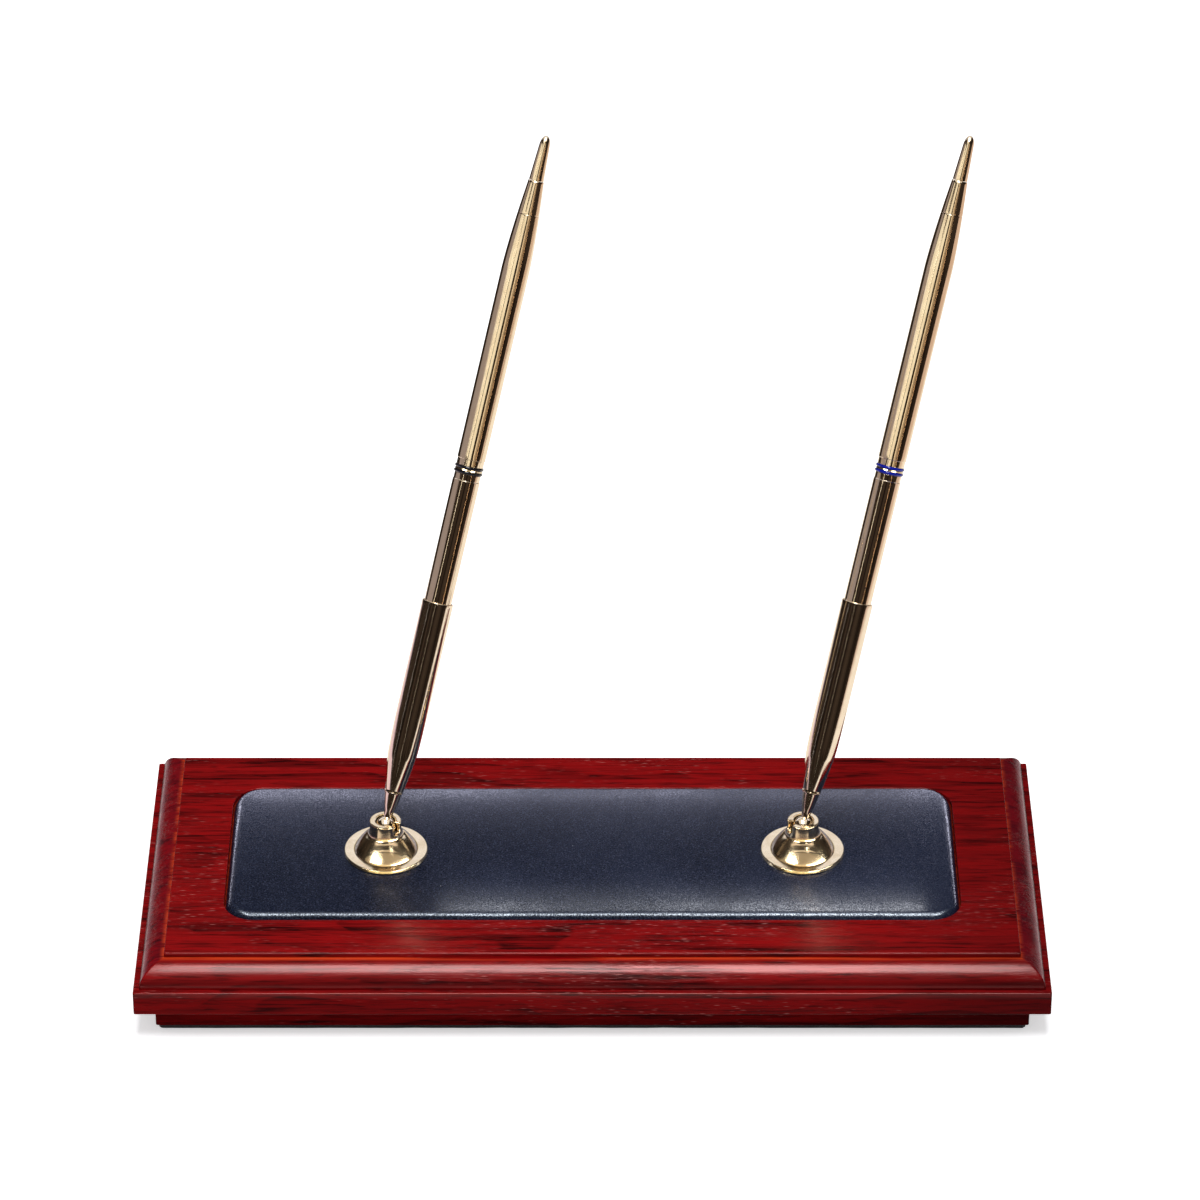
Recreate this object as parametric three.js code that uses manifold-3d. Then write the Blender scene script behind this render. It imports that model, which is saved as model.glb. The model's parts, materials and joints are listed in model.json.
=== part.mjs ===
// A pen stand: a moulded wooden base with an inlaid leather pad, two swivel funnels and two pens.
// Millimetres, +Z up. The origin is on the table, under the middle of the base.

import * as THREE from 'three';
import { mergeVertices } from 'three/addons/utils/BufferGeometryUtils.js';
import Module from 'manifold-3d';

const wasm = await Module();
wasm.setup();

// Felt and wooden base
const baseLength = 240;
const baseDepth = 107.7;
const feltThickness = 1.5;
const feltSetback = 0.6;
const plinthInset = 5.2;
const plinthHeight = 7.3;
const bandHeight = 6.85;
const ledgeWidth = 1.6;
const ovoloWidth = 6.35;
const ovoloHeight = 5.8;
const ovoloSteps = 8;
const riserHeight = 1.45;

// Inlaid pad: backing board, foam and leather
const padLength = 194.6;
const padDepth = 61.1;
const padCornerRadius = 8;
const padSideGap = 0.3;
const recessDepth = 3.5;
const padRise = 0.6;
const backingThickness = 1.5;
const backingSetback = 1.3;
const leatherThickness = 1;
const leatherRollRadius = 2.9;
const skirtClearance = 0.2;
const layerGap = 0.1;

// Holders: a turned bell on the pad, held from below
const holderSpacing = 111.6;
const holderShift = 0.45;
const bellHeight = 10.15;
const flangeRadius = 11.25;
const flangeThickness = 1.05;
const flangeEdge = 0.25;
const domeRadius = 8.65;
const domeBulge = 0.1;
const shoulderRadius = 4.95;
const shoulderHeight = 5.65;
const shoulderSlope = 0.66;
const neckRadius = 4.2;
const neckStart = 8.4;
const rimRadius = 0.38;
const lipTopRadius = 2.95;
const lipChamfer = 0.27;
const bellCavityRadius = 7;
const bellCavityHeight = 2.1;
const bellThroatHeight = 5.6;
const throatStep = 0.1;
const throatClearance = 0.05;
const throatFlareWidth = 1.1;
const throatFlareHeight = 0.8;
const cavityBevel = 0.6;
const cavityBevelHeight = 0.8;
const notchWidth = 2.8;
const notchDepth = 3.1;
const notchAngles = [-39, 203];

// Ball joint
const ballRadius = 2.85;
const ballClearance = 0.25;
const ballLipHeight = 1.83;
const seatClearance = 0.3;
const seatFootRadius = 3.4;
const seatBottomHeight = 4;
const seatLipWidth = 0.5;
const seatFootHeight = 0.7;
const springWire = 0.6;
const springTurns = 2.5;
const springGap = 0.05;
const springPocketRadius = 3.4;
const springPocketDepth = 1.6;

// Retaining bush, screw and washer
const bushClearance = 0.3;
const bushFlangeHeight = 2;
const bushSpigotRadius = 4.7;
const bushSpigotDepth = 3;
const bushFloor = 0.8;
const screwRadius = 2;
const screwClearance = 0.15;
const screwHeadRadius = 3.7;
const screwHeadHeight = 2.5;
const screwTipGap = 0.3;
const screwSlotWidth = 1;
const screwSlotDepth = 1.2;
const washerRadius = 6;
const washerThickness = 1;
const counterboreRadius = 7;
const counterboreDepth = 6.5;

// Lean of the pens at rest, from the vertical, and its bearing from +Y towards +X
const leanAngle = 28;
const leanBearing = 29.2;

// Distances below are along the pen's axis, from the middle of the ball
const stemNeckRadius = 1.15;
const stemFlareRadius = 1.93;
const stemFlareAt = 5.87;
const stemTopRadius = 2.4;
const stemTopAt = 9.6;
const stemSpigotRadius = 1.5;
const stemSpigotLength = 2.7;
const turnedGap = 0.1;

// Funnel and its plastic insert
const funnelWall = 0.36;
const funnelFootRadius = 2.45;
const funnelConeRadius = 3.8;
const funnelConeAt = 18.7;
const funnelStraightAt = 32;
const funnelMouthAt = 62.2;
const funnelFloorAt = 12.6;
const funnelLip = 0.12;
const insertClearance = 0.15;
const insertTopAt = 26;
const insertFloor = 0.4;

// Pen
const penRadius = 3.68;
const penClearance = 0.17;
const penWall = 0.55;
const refillTipAt = 13.35;
const refillTipRadius = 0.36;
const refillRadius = 1.1;
const refillShoulderAt = 18.2;
const refillEndAt = 108;
const refillClearance = 0.25;
const nibStartAt = 14.4;
const nibTipRadius = 0.8;
const nibMiddleAt = 20;
const nibMiddleRadius = 2;
const nibEndAt = 31;
const nibEndRadius = 3.5;
const nibSeatClearance = 0.3;
const ringRadius = 3.9;
const ringThickness = 0.82;
const ringLowerAt = 97.84;
const ringSpacing = 1.36;
const ringEdge = 0.28;
const collarStep = 0.14;
const collarLength = 1.8;
const sleeveRadius = 2.95;
const sleeveWall = 0.6;
const sleeveReach = 9.5;
const rearRadius = 3.77;
const rearTaperAt = 153;
const rearTaperSteps = 8;
const rearTaperPower = 1.5;
const rearEndAt = 177.1;
const rearEndRadius = 2.1;
const rearBoreEndAt = 168;
const finialRadius = 1.79;
const finialTopRadius = 1.45;
const finialTopAt = 186.4;
const penEndAt = 189.2;
const finialSpigotRadius = 0.85;
const finialSpigotLength = 6.5;

// Facets round each turned piece
const bellFacets = 28;
const barrelFacets = 20;
const ringFacets = 24;
const smallFacets = 16;
const refillFacets = 10;
const cornerSteps = 6;

// Heights above the table
const bandBottom = feltThickness + plinthHeight;
const ledgeTop = bandBottom + bandHeight;
const riserBottom = ledgeTop + ovoloHeight;
const boardTop = riserBottom + riserHeight;
const recessFloor = boardTop - recessDepth;
const backingTop = recessFloor + backingThickness;
const padTop = boardTop + padRise;
const foamTop = padTop - leatherThickness - layerGap;
const rollCentre = padTop - leatherRollRadius;
const washerTop = feltThickness + counterboreDepth;
const screwSeat = washerTop - washerThickness;
const bushTop = layerGap + bushFlangeHeight;
const bushBottom = recessFloor - bushSpigotDepth - padTop;
const bushBoreTop = bushTop - springPocketDepth - bushFloor;
const ballHeight = bellHeight - lipChamfer - ballLipHeight;

// Radii that follow from the fits
const socketRadius = ballRadius + ballClearance;
const throatRadius = socketRadius + throatClearance;
const openingRadius = Math.sqrt(socketRadius ** 2 - ballLipHeight ** 2);
const funnelBore = penRadius + penClearance;
const funnelRadius = funnelBore + funnelWall;
const spigotHoleRadius = bushSpigotRadius + bushClearance;
const penBore = penRadius - penWall;
const stemSpigotBore = stemSpigotRadius + turnedGap;
const refillBore = refillRadius + refillClearance;
const ringBore = sleeveRadius + turnedGap;
const frontEndAt = ringLowerAt - ringThickness / 2 - turnedGap / 2;
const ringUpperAt = ringLowerAt + ringSpacing;
const rearStartAt = ringUpperAt + ringThickness / 2 + turnedGap / 2;

const degrees = Math.PI / 180;
const point = (x, y) => new THREE.Vector2(x, y);

// Colours and finishes
const finishes = {
  mahogany: new THREE.MeshStandardMaterial({ color: 0x7c1416, roughness: 0.35 }),
  felt: new THREE.MeshStandardMaterial({ color: 0x0c0c0e, roughness: 0.95 }),
  fibreboard: new THREE.MeshStandardMaterial({ color: 0x6b5236, roughness: 0.9 }),
  foam: new THREE.MeshStandardMaterial({ color: 0xc9c4b8, roughness: 1 }),
  leather: new THREE.MeshStandardMaterial({ color: 0x1e2132, roughness: 0.5 }),
  gold: new THREE.MeshStandardMaterial({ color: 0xe6c98a, roughness: 0.12, metalness: 1 }),
  brass: new THREE.MeshStandardMaterial({ color: 0xb08d4a, roughness: 0.35, metalness: 1 }),
  steel: new THREE.MeshStandardMaterial({ color: 0x9a9ca0, roughness: 0.3, metalness: 1 }),
  nylon: new THREE.MeshStandardMaterial({ color: 0xe4e0d4, roughness: 0.5 }),
  blackRing: new THREE.MeshStandardMaterial({ color: 0x0b0b12, roughness: 0.25 }),
  blueRing: new THREE.MeshStandardMaterial({ color: 0x0a23a8, roughness: 0.25 }),
};

// Points of a circular arc, both ends included
function arc(centreX, centreY, radius, from, to, steps) {
  return Array.from({ length: steps + 1 }, (_, i) => {
    const angle = from + ((to - from) * i) / steps;
    return point(centreX + radius * Math.cos(angle), centreY + radius * Math.sin(angle));
  });
}

// Points of a cubic curve, its first point left out
function bend(start, startHandle, endHandle, end, steps) {
  return new THREE.CubicBezierCurve(start, startHandle, endHandle, end).getPoints(steps).slice(1);
}

// Only the places and the triangles of a closed surface, with shared corners merged
function closed(geometry) {
  const bare = new THREE.BufferGeometry();
  bare.setAttribute('position', geometry.getAttribute('position').clone());
  bare.setIndex(geometry.getIndex());
  const merged = mergeVertices(bare, 1e-4);
  const index = merged.getIndex().array;
  const kept = [];
  for (let i = 0; i < index.length; i += 3) {
    const [a, b, c] = index.slice(i, i + 3);
    if (a !== b && b !== c && c !== a) kept.push(a, b, c);
  }
  merged.setIndex(kept);
  return merged;
}

function toSolid(geometry) {
  const surface = closed(geometry);
  const vertProperties = new Float32Array(surface.getAttribute('position').array);
  const triVerts = new Uint32Array(surface.getIndex().array);
  return new wasm.Manifold(new wasm.Mesh({ numProp: 3, vertProperties, triVerts }));
}

function toGeometry(solid) {
  const mesh = solid.getMesh();
  const geometry = new THREE.BufferGeometry();
  geometry.setAttribute('position', new THREE.BufferAttribute(new Float32Array(mesh.vertProperties), 3));
  geometry.setIndex(new THREE.BufferAttribute(new Uint32Array(mesh.triVerts), 1));
  return geometry;
}

function cut(geometry, ...cutters) {
  return toGeometry(cutters.reduce((solid, cutter) => solid.subtract(toSolid(cutter)), toSolid(geometry)));
}

// A solid turned about Z from an outline of radius and height that runs up its outer side
function turned(outline, facets) {
  return closed(new THREE.LatheGeometry(outline, facets).rotateX(Math.PI / 2));
}

// A turned solid whose outline closes on itself, round a hole
function turnedRing(outline, facets) {
  return turned([...outline, outline[0].clone()], facets);
}

function cylinder(radius, bottom, top, facets) {
  return turned([point(0, bottom), point(radius, bottom), point(radius, top), point(0, top)], facets);
}

// A skin over rings of equally many points, with a flat convex cap at each end
function lofted(rings) {
  const count = rings[0].length;
  const places = rings.flat().flatMap((p) => [p.x, p.y, p.z]);
  const index = [];
  for (let ring = 0; ring + 1 < rings.length; ring += 1) {
    for (let i = 0; i < count; i += 1) {
      const next = (i + 1) % count;
      const [a, b] = [ring * count + i, ring * count + next];
      index.push(a, b, b + count, a, b + count, a + count);
    }
  }
  const last = (rings.length - 1) * count;
  for (let i = 1; i + 1 < count; i += 1) {
    index.push(0, i + 1, i, last, last + i, last + i + 1);
  }
  const geometry = new THREE.BufferGeometry();
  geometry.setAttribute('position', new THREE.Float32BufferAttribute(places, 3));
  geometry.setIndex(index);
  return closed(geometry);
}

// The corners of a rectangle with square corners, at a height
function squareRing(length, depth, height) {
  const [x, y] = [length / 2, depth / 2];
  return [[-x, -y], [x, -y], [x, y], [-x, y]].map(([a, b]) => new THREE.Vector3(a, b, height));
}

// The outline of the pad, set in from its edge, at a height
function padRing(inset, height) {
  const radius = padCornerRadius - inset;
  const x = padLength / 2 - padCornerRadius;
  const y = padDepth / 2 - padCornerRadius;
  const corners = [[x, -y, -90], [x, y, 0], [-x, y, 90], [-x, -y, 180]];
  return corners.flatMap(([cx, cy, start]) =>
    arc(cx, cy, radius, start * degrees, (start + 90) * degrees, cornerSteps)
      .map((p) => new THREE.Vector3(p.x, p.y, height)));
}

function holderPlaces() {
  return [-1, 1].map((side) => side * holderSpacing / 2 + holderShift);
}

function mesh(name, geometry, finish) {
  const piece = new THREE.Mesh(geometry, finishes[finish]);
  piece.name = name;
  return piece;
}

// Holes for both holders, of one radius between two heights
function holderHoles(radius, bottom, top) {
  return holderPlaces().map((x) => cylinder(radius, bottom, top, barrelFacets).translate(x, 0, 0));
}

function feltUnderlay() {
  const inset = plinthInset + feltSetback;
  const [length, depth] = [baseLength - 2 * inset, baseDepth - 2 * inset];
  const sheet = lofted([squareRing(length, depth, 0), squareRing(length, depth, feltThickness)]);
  return mesh('felt_underlay', sheet, 'felt');
}

// The board's section is carried round the four sides with mitred corners
function baseBoard() {
  const section = [
    point(plinthInset, feltThickness),
    point(plinthInset, bandBottom),
    point(0, bandBottom),
    point(0, ledgeTop),
  ];
  for (let i = 0; i <= ovoloSteps; i += 1) {
    const angle = (90 * degrees * i) / ovoloSteps;
    const inset = ledgeWidth + ovoloWidth * (1 - Math.cos(angle));
    section.push(point(inset, ledgeTop + ovoloHeight * Math.sin(angle)));
  }
  section.push(point(ledgeWidth + ovoloWidth, boardTop));
  const board = lofted(section.map((p) => squareRing(baseLength - 2 * p.x, baseDepth - 2 * p.x, p.y)));
  const over = boardTop + 1;
  const under = feltThickness - 1;
  return mesh('base_board', cut(
    board,
    lofted([padRing(-padSideGap, recessFloor), padRing(-padSideGap, over)]),
    ...holderHoles(spigotHoleRadius, recessFloor - bushSpigotDepth - bushClearance, over),
    ...holderHoles(screwRadius + bushClearance, under, over),
    ...holderHoles(counterboreRadius, under, washerTop),
  ), 'mahogany');
}

function padBacking() {
  const board = lofted([padRing(backingSetback, recessFloor), padRing(backingSetback, backingTop)]);
  const holes = holderHoles(spigotHoleRadius, recessFloor - 1, backingTop + 1);
  return mesh('pad_backing', cut(board, ...holes), 'fibreboard');
}

// Rings of the pad's rounded edge, from the lower one up, for a roll of some radius
function rollRings(radius, from, steps) {
  return arc(leatherRollRadius, rollCentre, radius, from, 90 * degrees, steps)
    .map((p) => padRing(2 * leatherRollRadius - p.x, p.y));
}

function padFoam() {
  const radius = foamTop - rollCentre;
  const from = Math.asin(Math.max(backingTop - rollCentre, 0) / radius);
  const holes = holderHoles(spigotHoleRadius, backingTop - 1, padTop + 1);
  return mesh('pad_foam', cut(lofted(rollRings(radius, from, 3)), ...holes), 'foam');
}

// The leather runs over the foam, round the edge and down the side of the backing
function padLeather() {
  const inner = leatherRollRadius - leatherThickness;
  const bottom = recessFloor + skirtClearance;
  const rings = [
    ...rollRings(inner, 0, 3).reverse(),
    padRing(leatherThickness, bottom),
    padRing(0, bottom),
    ...rollRings(leatherRollRadius, 0, 5),
  ];
  const holes = holderHoles(spigotHoleRadius, backingTop - 1, padTop + 1);
  return mesh('pad_leather', cut(lofted(rings), ...holes), 'leather');
}

// The bell's outline, from its flange over the dome and neck to the lip and back down inside
function bellOutline() {
  const foot = point(domeRadius, flangeThickness);
  const shoulder = point(shoulderRadius, shoulderHeight);
  const neck = point(neckRadius, neckStart);
  const drop = shoulderHeight - flangeThickness;
  const domeHandle = 0.3 * (domeRadius - shoulderRadius);
  const neckHandle = 0.78 * (shoulderRadius - neckRadius);
  const lip = ballHeight + ballLipHeight;
  const socketStart = Math.asin(ballLipHeight / socketRadius);
  return [
    point(bellCavityRadius, 0),
    point(flangeRadius - flangeEdge, 0),
    point(flangeRadius, flangeEdge),
    point(flangeRadius, flangeThickness - flangeEdge),
    point(flangeRadius - flangeEdge, flangeThickness),
    foot,
    ...bend(
      foot,
      point(domeRadius - domeBulge, flangeThickness + 0.15 * drop),
      point(shoulderRadius + domeHandle, shoulderHeight - domeHandle * shoulderSlope),
      shoulder,
      7,
    ),
    ...bend(
      shoulder,
      point(shoulderRadius - neckHandle, shoulderHeight + neckHandle * shoulderSlope),
      point(neckRadius, neckStart - 0.45 * (neckStart - shoulderHeight)),
      neck,
      4,
    ),
    ...arc(neckRadius - rimRadius, bellHeight - rimRadius, rimRadius, 0, 90 * degrees, 3),
    point(lipTopRadius, bellHeight),
    point(openingRadius, lip),
    ...arc(0, ballHeight, socketRadius, socketStart, 0, 4).slice(1),
    point(throatRadius, ballHeight - throatStep),
    point(throatRadius, bellThroatHeight),
    point(throatRadius + throatFlareWidth, bellThroatHeight - throatFlareHeight),
    point(bellCavityRadius - cavityBevel, bellCavityHeight + cavityBevelHeight),
    point(bellCavityRadius, bellCavityHeight),
  ];
}

// A slot with a round bottom, through one side of the neck
function notchCutter(angle) {
  const half = notchWidth / 2;
  const bottom = bellHeight - notchDepth + half;
  const over = bellHeight + 1;
  const outline = new THREE.Shape([
    point(-half, over),
    ...arc(0, bottom, half, 180 * degrees, 360 * degrees, 8),
    point(half, over),
  ]);
  return new THREE.ExtrudeGeometry(outline, { depth: 2 * neckRadius, bevelEnabled: false })
    .rotateX(90 * degrees)
    .rotateZ((angle + 90) * degrees);
}

function socketBell(side, notchAngle) {
  const bell = turnedRing(bellOutline(), bellFacets);
  return mesh(`${side}_socket_bell`, cut(bell, notchCutter(notchAngle)), 'gold');
}

function ballSeat(side) {
  const outer = throatRadius - seatClearance;
  const inner = outer - seatLipWidth;
  const start = Math.asin(inner / socketRadius);
  const lip = ballHeight - socketRadius * Math.cos(start);
  const foot = seatBottomHeight + seatFootHeight;
  return mesh(`${side}_ball_seat`, turned([
    point(0, seatBottomHeight),
    point(seatFootRadius, seatBottomHeight),
    point(seatFootRadius, foot),
    point(outer, foot + seatFootRadius - outer),
    point(outer, lip),
    ...arc(0, ballHeight, socketRadius, start - 90 * degrees, -90 * degrees, 4),
  ], smallFacets), 'nylon');
}

// One helical wire between the bush's pocket and the seat
function seatSpring(side) {
  const wire = springWire / 2;
  const radius = springPocketRadius - bushClearance - wire;
  const bottom = bushTop - springPocketDepth + springGap + wire;
  const top = seatBottomHeight - springGap - wire;
  const stepsPerTurn = 12;
  const sides = 5;
  const steps = Math.round(springTurns * stepsPerTurn);
  const rings = Array.from({ length: steps + 1 }, (_, i) => {
    const turn = (2 * Math.PI * springTurns * i) / steps;
    const outward = new THREE.Vector3(Math.cos(turn), Math.sin(turn), 0);
    const up = new THREE.Vector3(0, 0, 1);
    const centre = outward.clone().multiplyScalar(radius).setZ(bottom + ((top - bottom) * i) / steps);
    return arc(0, 0, wire, 0, 2 * Math.PI, sides).slice(0, sides)
      .map((p) => centre.clone().addScaledVector(outward, p.x).addScaledVector(up, p.y));
  });
  return mesh(`${side}_seat_spring`, lofted(rings.reverse()), 'steel');
}

function retainingBush(side) {
  const bore = screwRadius + screwClearance;
  const pocket = bushTop - springPocketDepth;
  const flange = bellCavityRadius - bushClearance;
  return mesh(`${side}_retaining_bush`, turned([
    point(0, bushBoreTop),
    point(bore, bushBoreTop),
    point(bore, bushBottom),
    point(bushSpigotRadius, bushBottom),
    point(bushSpigotRadius, layerGap),
    point(flange, layerGap),
    point(flange, bushTop),
    point(springPocketRadius, bushTop),
    point(springPocketRadius, pocket),
    point(0, pocket),
  ], barrelFacets), 'brass');
}

function mountScrew(side) {
  const seat = screwSeat - padTop;
  const head = seat - screwHeadHeight;
  const tip = bushBoreTop - screwTipGap;
  const screw = turned([
    point(0, head),
    point(screwHeadRadius - 0.6, head),
    point(screwHeadRadius, head + 0.8),
    point(screwHeadRadius, seat),
    point(screwRadius, seat),
    point(screwRadius, tip - 0.6),
    point(screwRadius - 0.5, tip),
    point(0, tip),
  ], smallFacets);
  const slot = new THREE.BoxGeometry(screwSlotWidth, 3 * screwHeadRadius, 2 * screwSlotDepth);
  slot.translate(0, 0, head);
  return mesh(`${side}_mount_screw`, cut(screw, slot), 'steel');
}

function washer(side) {
  const bore = screwRadius + bushClearance;
  return mesh(`${side}_washer`, turnedRing([
    point(bore, screwSeat - padTop),
    point(washerRadius, screwSeat - padTop),
    point(washerRadius, washerTop - padTop),
    point(bore, washerTop - padTop),
  ], smallFacets), 'steel');
}

function ballStem(side) {
  const neckAt = Math.sqrt(ballRadius ** 2 - stemNeckRadius ** 2);
  const neckAngle = Math.asin(neckAt / ballRadius);
  const flare = point(stemFlareRadius, stemFlareAt);
  const flareRise = stemFlareAt - neckAt;
  const topRise = stemTopAt - stemFlareAt;
  return mesh(`${side}_ball_stem`, turned([
    ...arc(0, 0, ballRadius, -90 * degrees, neckAngle, 9),
    ...bend(
      point(stemNeckRadius, neckAt),
      point(stemNeckRadius, neckAt + 0.52 * flareRise),
      point(stemFlareRadius - 0.28, stemFlareAt - 0.67),
      flare,
      4,
    ),
    ...bend(
      flare,
      point(stemFlareRadius + 0.18, stemFlareAt + 0.43),
      point(stemTopRadius - 0.1, stemTopAt - 0.4 * topRise),
      point(stemTopRadius, stemTopAt),
      3,
    ),
    point(stemSpigotRadius, stemTopAt),
    point(stemSpigotRadius, stemTopAt + stemSpigotLength),
    point(0, stemTopAt + stemSpigotLength),
  ], smallFacets), 'gold');
}

// The funnel's tapered part, from its foot cone to its straight tube, drawn in by some thickness
function funnelTaper(inward, start) {
  const slope = (funnelConeRadius - funnelFootRadius) / (funnelConeAt - stemTopAt);
  const rise = funnelStraightAt - funnelConeAt;
  const coneEnd = point(funnelConeRadius - inward, funnelConeAt);
  return [
    point(coneEnd.x - slope * (funnelConeAt - start), start),
    coneEnd,
    ...bend(
      coneEnd,
      point(coneEnd.x + 0.12 * slope * rise, funnelConeAt + 0.12 * rise),
      point(funnelRadius - inward, funnelConeAt + 0.62 * rise),
      point(funnelRadius - inward, funnelStraightAt),
      5,
    ),
  ];
}

function funnel(side) {
  const foot = stemTopAt + turnedGap;
  return mesh(`${side}_funnel`, turnedRing([
    point(stemSpigotBore, foot),
    ...funnelTaper(0, foot),
    point(funnelRadius, funnelMouthAt - funnelLip),
    point(funnelRadius - funnelLip, funnelMouthAt),
    point(funnelBore + funnelLip, funnelMouthAt),
    point(funnelBore, funnelMouthAt - funnelLip),
    ...funnelTaper(funnelWall, funnelFloorAt).reverse(),
    point(stemSpigotBore, funnelFloorAt),
  ], ringFacets), 'gold');
}

// The nib cone's outline between two places, made wider by a clearance
function nibOutline(clearance) {
  return [
    point(nibTipRadius + clearance, nibStartAt),
    point(nibMiddleRadius + clearance, nibMiddleAt),
    point(nibEndRadius + clearance, nibEndAt),
  ];
}

// The radius of an outline of points with rising heights, at a height
function radiusAt(outline, height) {
  const next = Math.max(1, outline.findIndex((p) => p.y >= height));
  const [low, high] = [outline[next - 1], outline[next]];
  return low.x + ((high.x - low.x) * (height - low.y)) / (high.y - low.y);
}

function funnelInsert(side) {
  const bottom = funnelFloorAt + insertClearance;
  const floor = bottom + insertFloor;
  const outer = funnelTaper(funnelWall + insertClearance, bottom);
  const inner = nibOutline(nibSeatClearance);
  return mesh(`${side}_funnel_insert`, turned([
    point(0, bottom),
    ...outer.filter((p) => p.y < insertTopAt),
    point(radiusAt(outer, insertTopAt), insertTopAt),
    point(radiusAt(inner, insertTopAt), insertTopAt),
    inner[1],
    inner[0],
    point(nibTipRadius, floor),
    point(0, floor),
  ], smallFacets), 'nylon');
}

function refill(side) {
  return mesh(`${side}_refill`, turned([
    point(0, refillTipAt),
    point(refillTipRadius, refillTipAt + 0.1),
    point(refillTipRadius, nibStartAt + 1),
    point(refillRadius, refillShoulderAt),
    point(refillRadius, refillEndAt),
    point(0, refillEndAt),
  ], refillFacets), 'brass');
}

function nibCone(side) {
  const tipBore = refillTipRadius + refillClearance / 2;
  return mesh(`${side}_nib_cone`, turnedRing([
    ...nibOutline(0),
    point(refillBore, nibEndAt),
    point(refillBore, refillShoulderAt),
    point(tipBore, nibStartAt + 0.9),
    point(tipBore, nibStartAt),
  ], smallFacets), 'gold');
}

function frontBarrel(side) {
  const start = nibEndAt + turnedGap;
  const collar = penRadius - collarStep;
  const step = frontEndAt - collarLength;
  return mesh(`${side}_front_barrel`, turnedRing([
    point(penBore, start),
    point(nibEndRadius, start),
    point(penRadius, start + 2 * (penRadius - nibEndRadius)),
    point(penRadius, step),
    point(collar, step + 0.2),
    point(collar, frontEndAt),
    point(penBore, frontEndAt),
  ], barrelFacets), 'gold');
}

// A threaded tube that joins the barrels, with a thin collar between the two rings
function joiningSleeve(side) {
  const middle = (ringLowerAt + ringUpperAt) / 2;
  const half = (ringSpacing - ringThickness - turnedGap) / 2;
  const bore = sleeveRadius - sleeveWall;
  return mesh(`${side}_joining_sleeve`, turnedRing([
    point(bore, middle - sleeveReach),
    point(sleeveRadius, middle - sleeveReach),
    point(sleeveRadius, middle - half),
    point(penRadius, middle - half),
    point(penRadius, middle + half),
    point(sleeveRadius, middle + half),
    point(sleeveRadius, middle + sleeveReach),
    point(bore, middle + sleeveReach),
  ], barrelFacets), 'brass');
}

function ring(name, at, finish) {
  const [bottom, top] = [at - ringThickness / 2, at + ringThickness / 2];
  return mesh(name, turnedRing([
    point(ringBore, bottom),
    point(ringRadius - ringEdge, bottom),
    point(ringRadius, bottom + ringEdge),
    point(ringRadius, top - ringEdge),
    point(ringRadius - ringEdge, top),
    point(ringBore, top),
  ], ringFacets), finish);
}

// The rear barrel's radius where it tapers: the loss grows with a power of the distance
function rearTaper(share) {
  const at = rearTaperAt + (rearEndAt - rearTaperAt) * share;
  return point(rearRadius - (rearRadius - rearEndRadius) * share ** rearTaperPower, at);
}

function rearBarrel(side) {
  const collar = rearRadius - collarStep;
  const step = rearStartAt + collarLength;
  const bore = finialSpigotRadius + turnedGap;
  const taper = Array.from({ length: rearTaperSteps + 1 }, (_, i) => rearTaper(i / rearTaperSteps));
  return mesh(`${side}_rear_barrel`, turnedRing([
    point(penBore, rearStartAt),
    point(collar, rearStartAt),
    point(collar, step - 0.2),
    point(rearRadius, step),
    ...taper,
    point(bore, rearEndAt),
    point(bore, rearBoreEndAt),
    point(penBore, rearTaperAt),
  ], barrelFacets), 'gold');
}

function finial(side) {
  const start = rearEndAt + turnedGap;
  return mesh(`${side}_finial`, turned([
    point(0, rearEndAt - finialSpigotLength),
    point(finialSpigotRadius, rearEndAt - finialSpigotLength),
    point(finialSpigotRadius, start),
    point(finialRadius, start),
    point(finialTopRadius, finialTopAt),
    ...bend(
      point(finialTopRadius, finialTopAt),
      point(finialTopRadius - 0.1, finialTopAt + 0.6 * (penEndAt - finialTopAt)),
      point(0.6 * finialTopRadius, penEndAt),
      point(0, penEndAt),
      5,
    ),
  ], smallFacets), 'gold');
}

// Pieces that stand upright with the bell, measured up from the pad's top
function holderBase(side, notchAngle) {
  return [
    socketBell(side, notchAngle),
    retainingBush(side),
    mountScrew(side),
    washer(side),
    seatSpring(side),
    ballSeat(side),
  ];
}

// Pieces that lean with the pen, measured from the middle of the ball
function leaningPieces(side, ringFinish) {
  return [
    ballStem(side),
    funnel(side),
    funnelInsert(side),
    refill(side),
    nibCone(side),
    frontBarrel(side),
    joiningSleeve(side),
    ring(`${side}_ring_lower`, ringLowerAt, ringFinish),
    ring(`${side}_ring_upper`, ringUpperAt, ringFinish),
    rearBarrel(side),
    finial(side),
  ];
}

function holder(side, place, notchAngle, ringFinish) {
  const bearing = leanBearing * degrees;
  const hinge = new THREE.Vector3(-Math.cos(bearing), Math.sin(bearing), 0);
  const leaning = new THREE.Group().add(...leaningPieces(side, ringFinish));
  leaning.position.z = ballHeight;
  leaning.quaternion.setFromAxisAngle(hinge, leanAngle * degrees);
  const upright = new THREE.Group().add(...holderBase(side, notchAngle), leaning);
  upright.position.set(place, 0, padTop);
  return upright;
}

const [leftPlace, rightPlace] = holderPlaces();
const penStand = new THREE.Group().add(
  feltUnderlay(),
  baseBoard(),
  padBacking(),
  padFoam(),
  padLeather(),
  holder('left', leftPlace, notchAngles[0], 'blackRing'),
  holder('right', rightPlace, notchAngles[1], 'blueRing'),
);

export default penStand;
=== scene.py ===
"""Looks of a desk pen stand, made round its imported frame.

A stained wooden base carries a leather pad and two turned holders, each with a
ball joint, a funnel and a slim pen in two parts. Sizes in the classes are in
millimetres. Meshes are written in metres, in the frame's own axes.
"""

import json
import logging
import math
from dataclasses import dataclass
from enum import Enum

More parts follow.
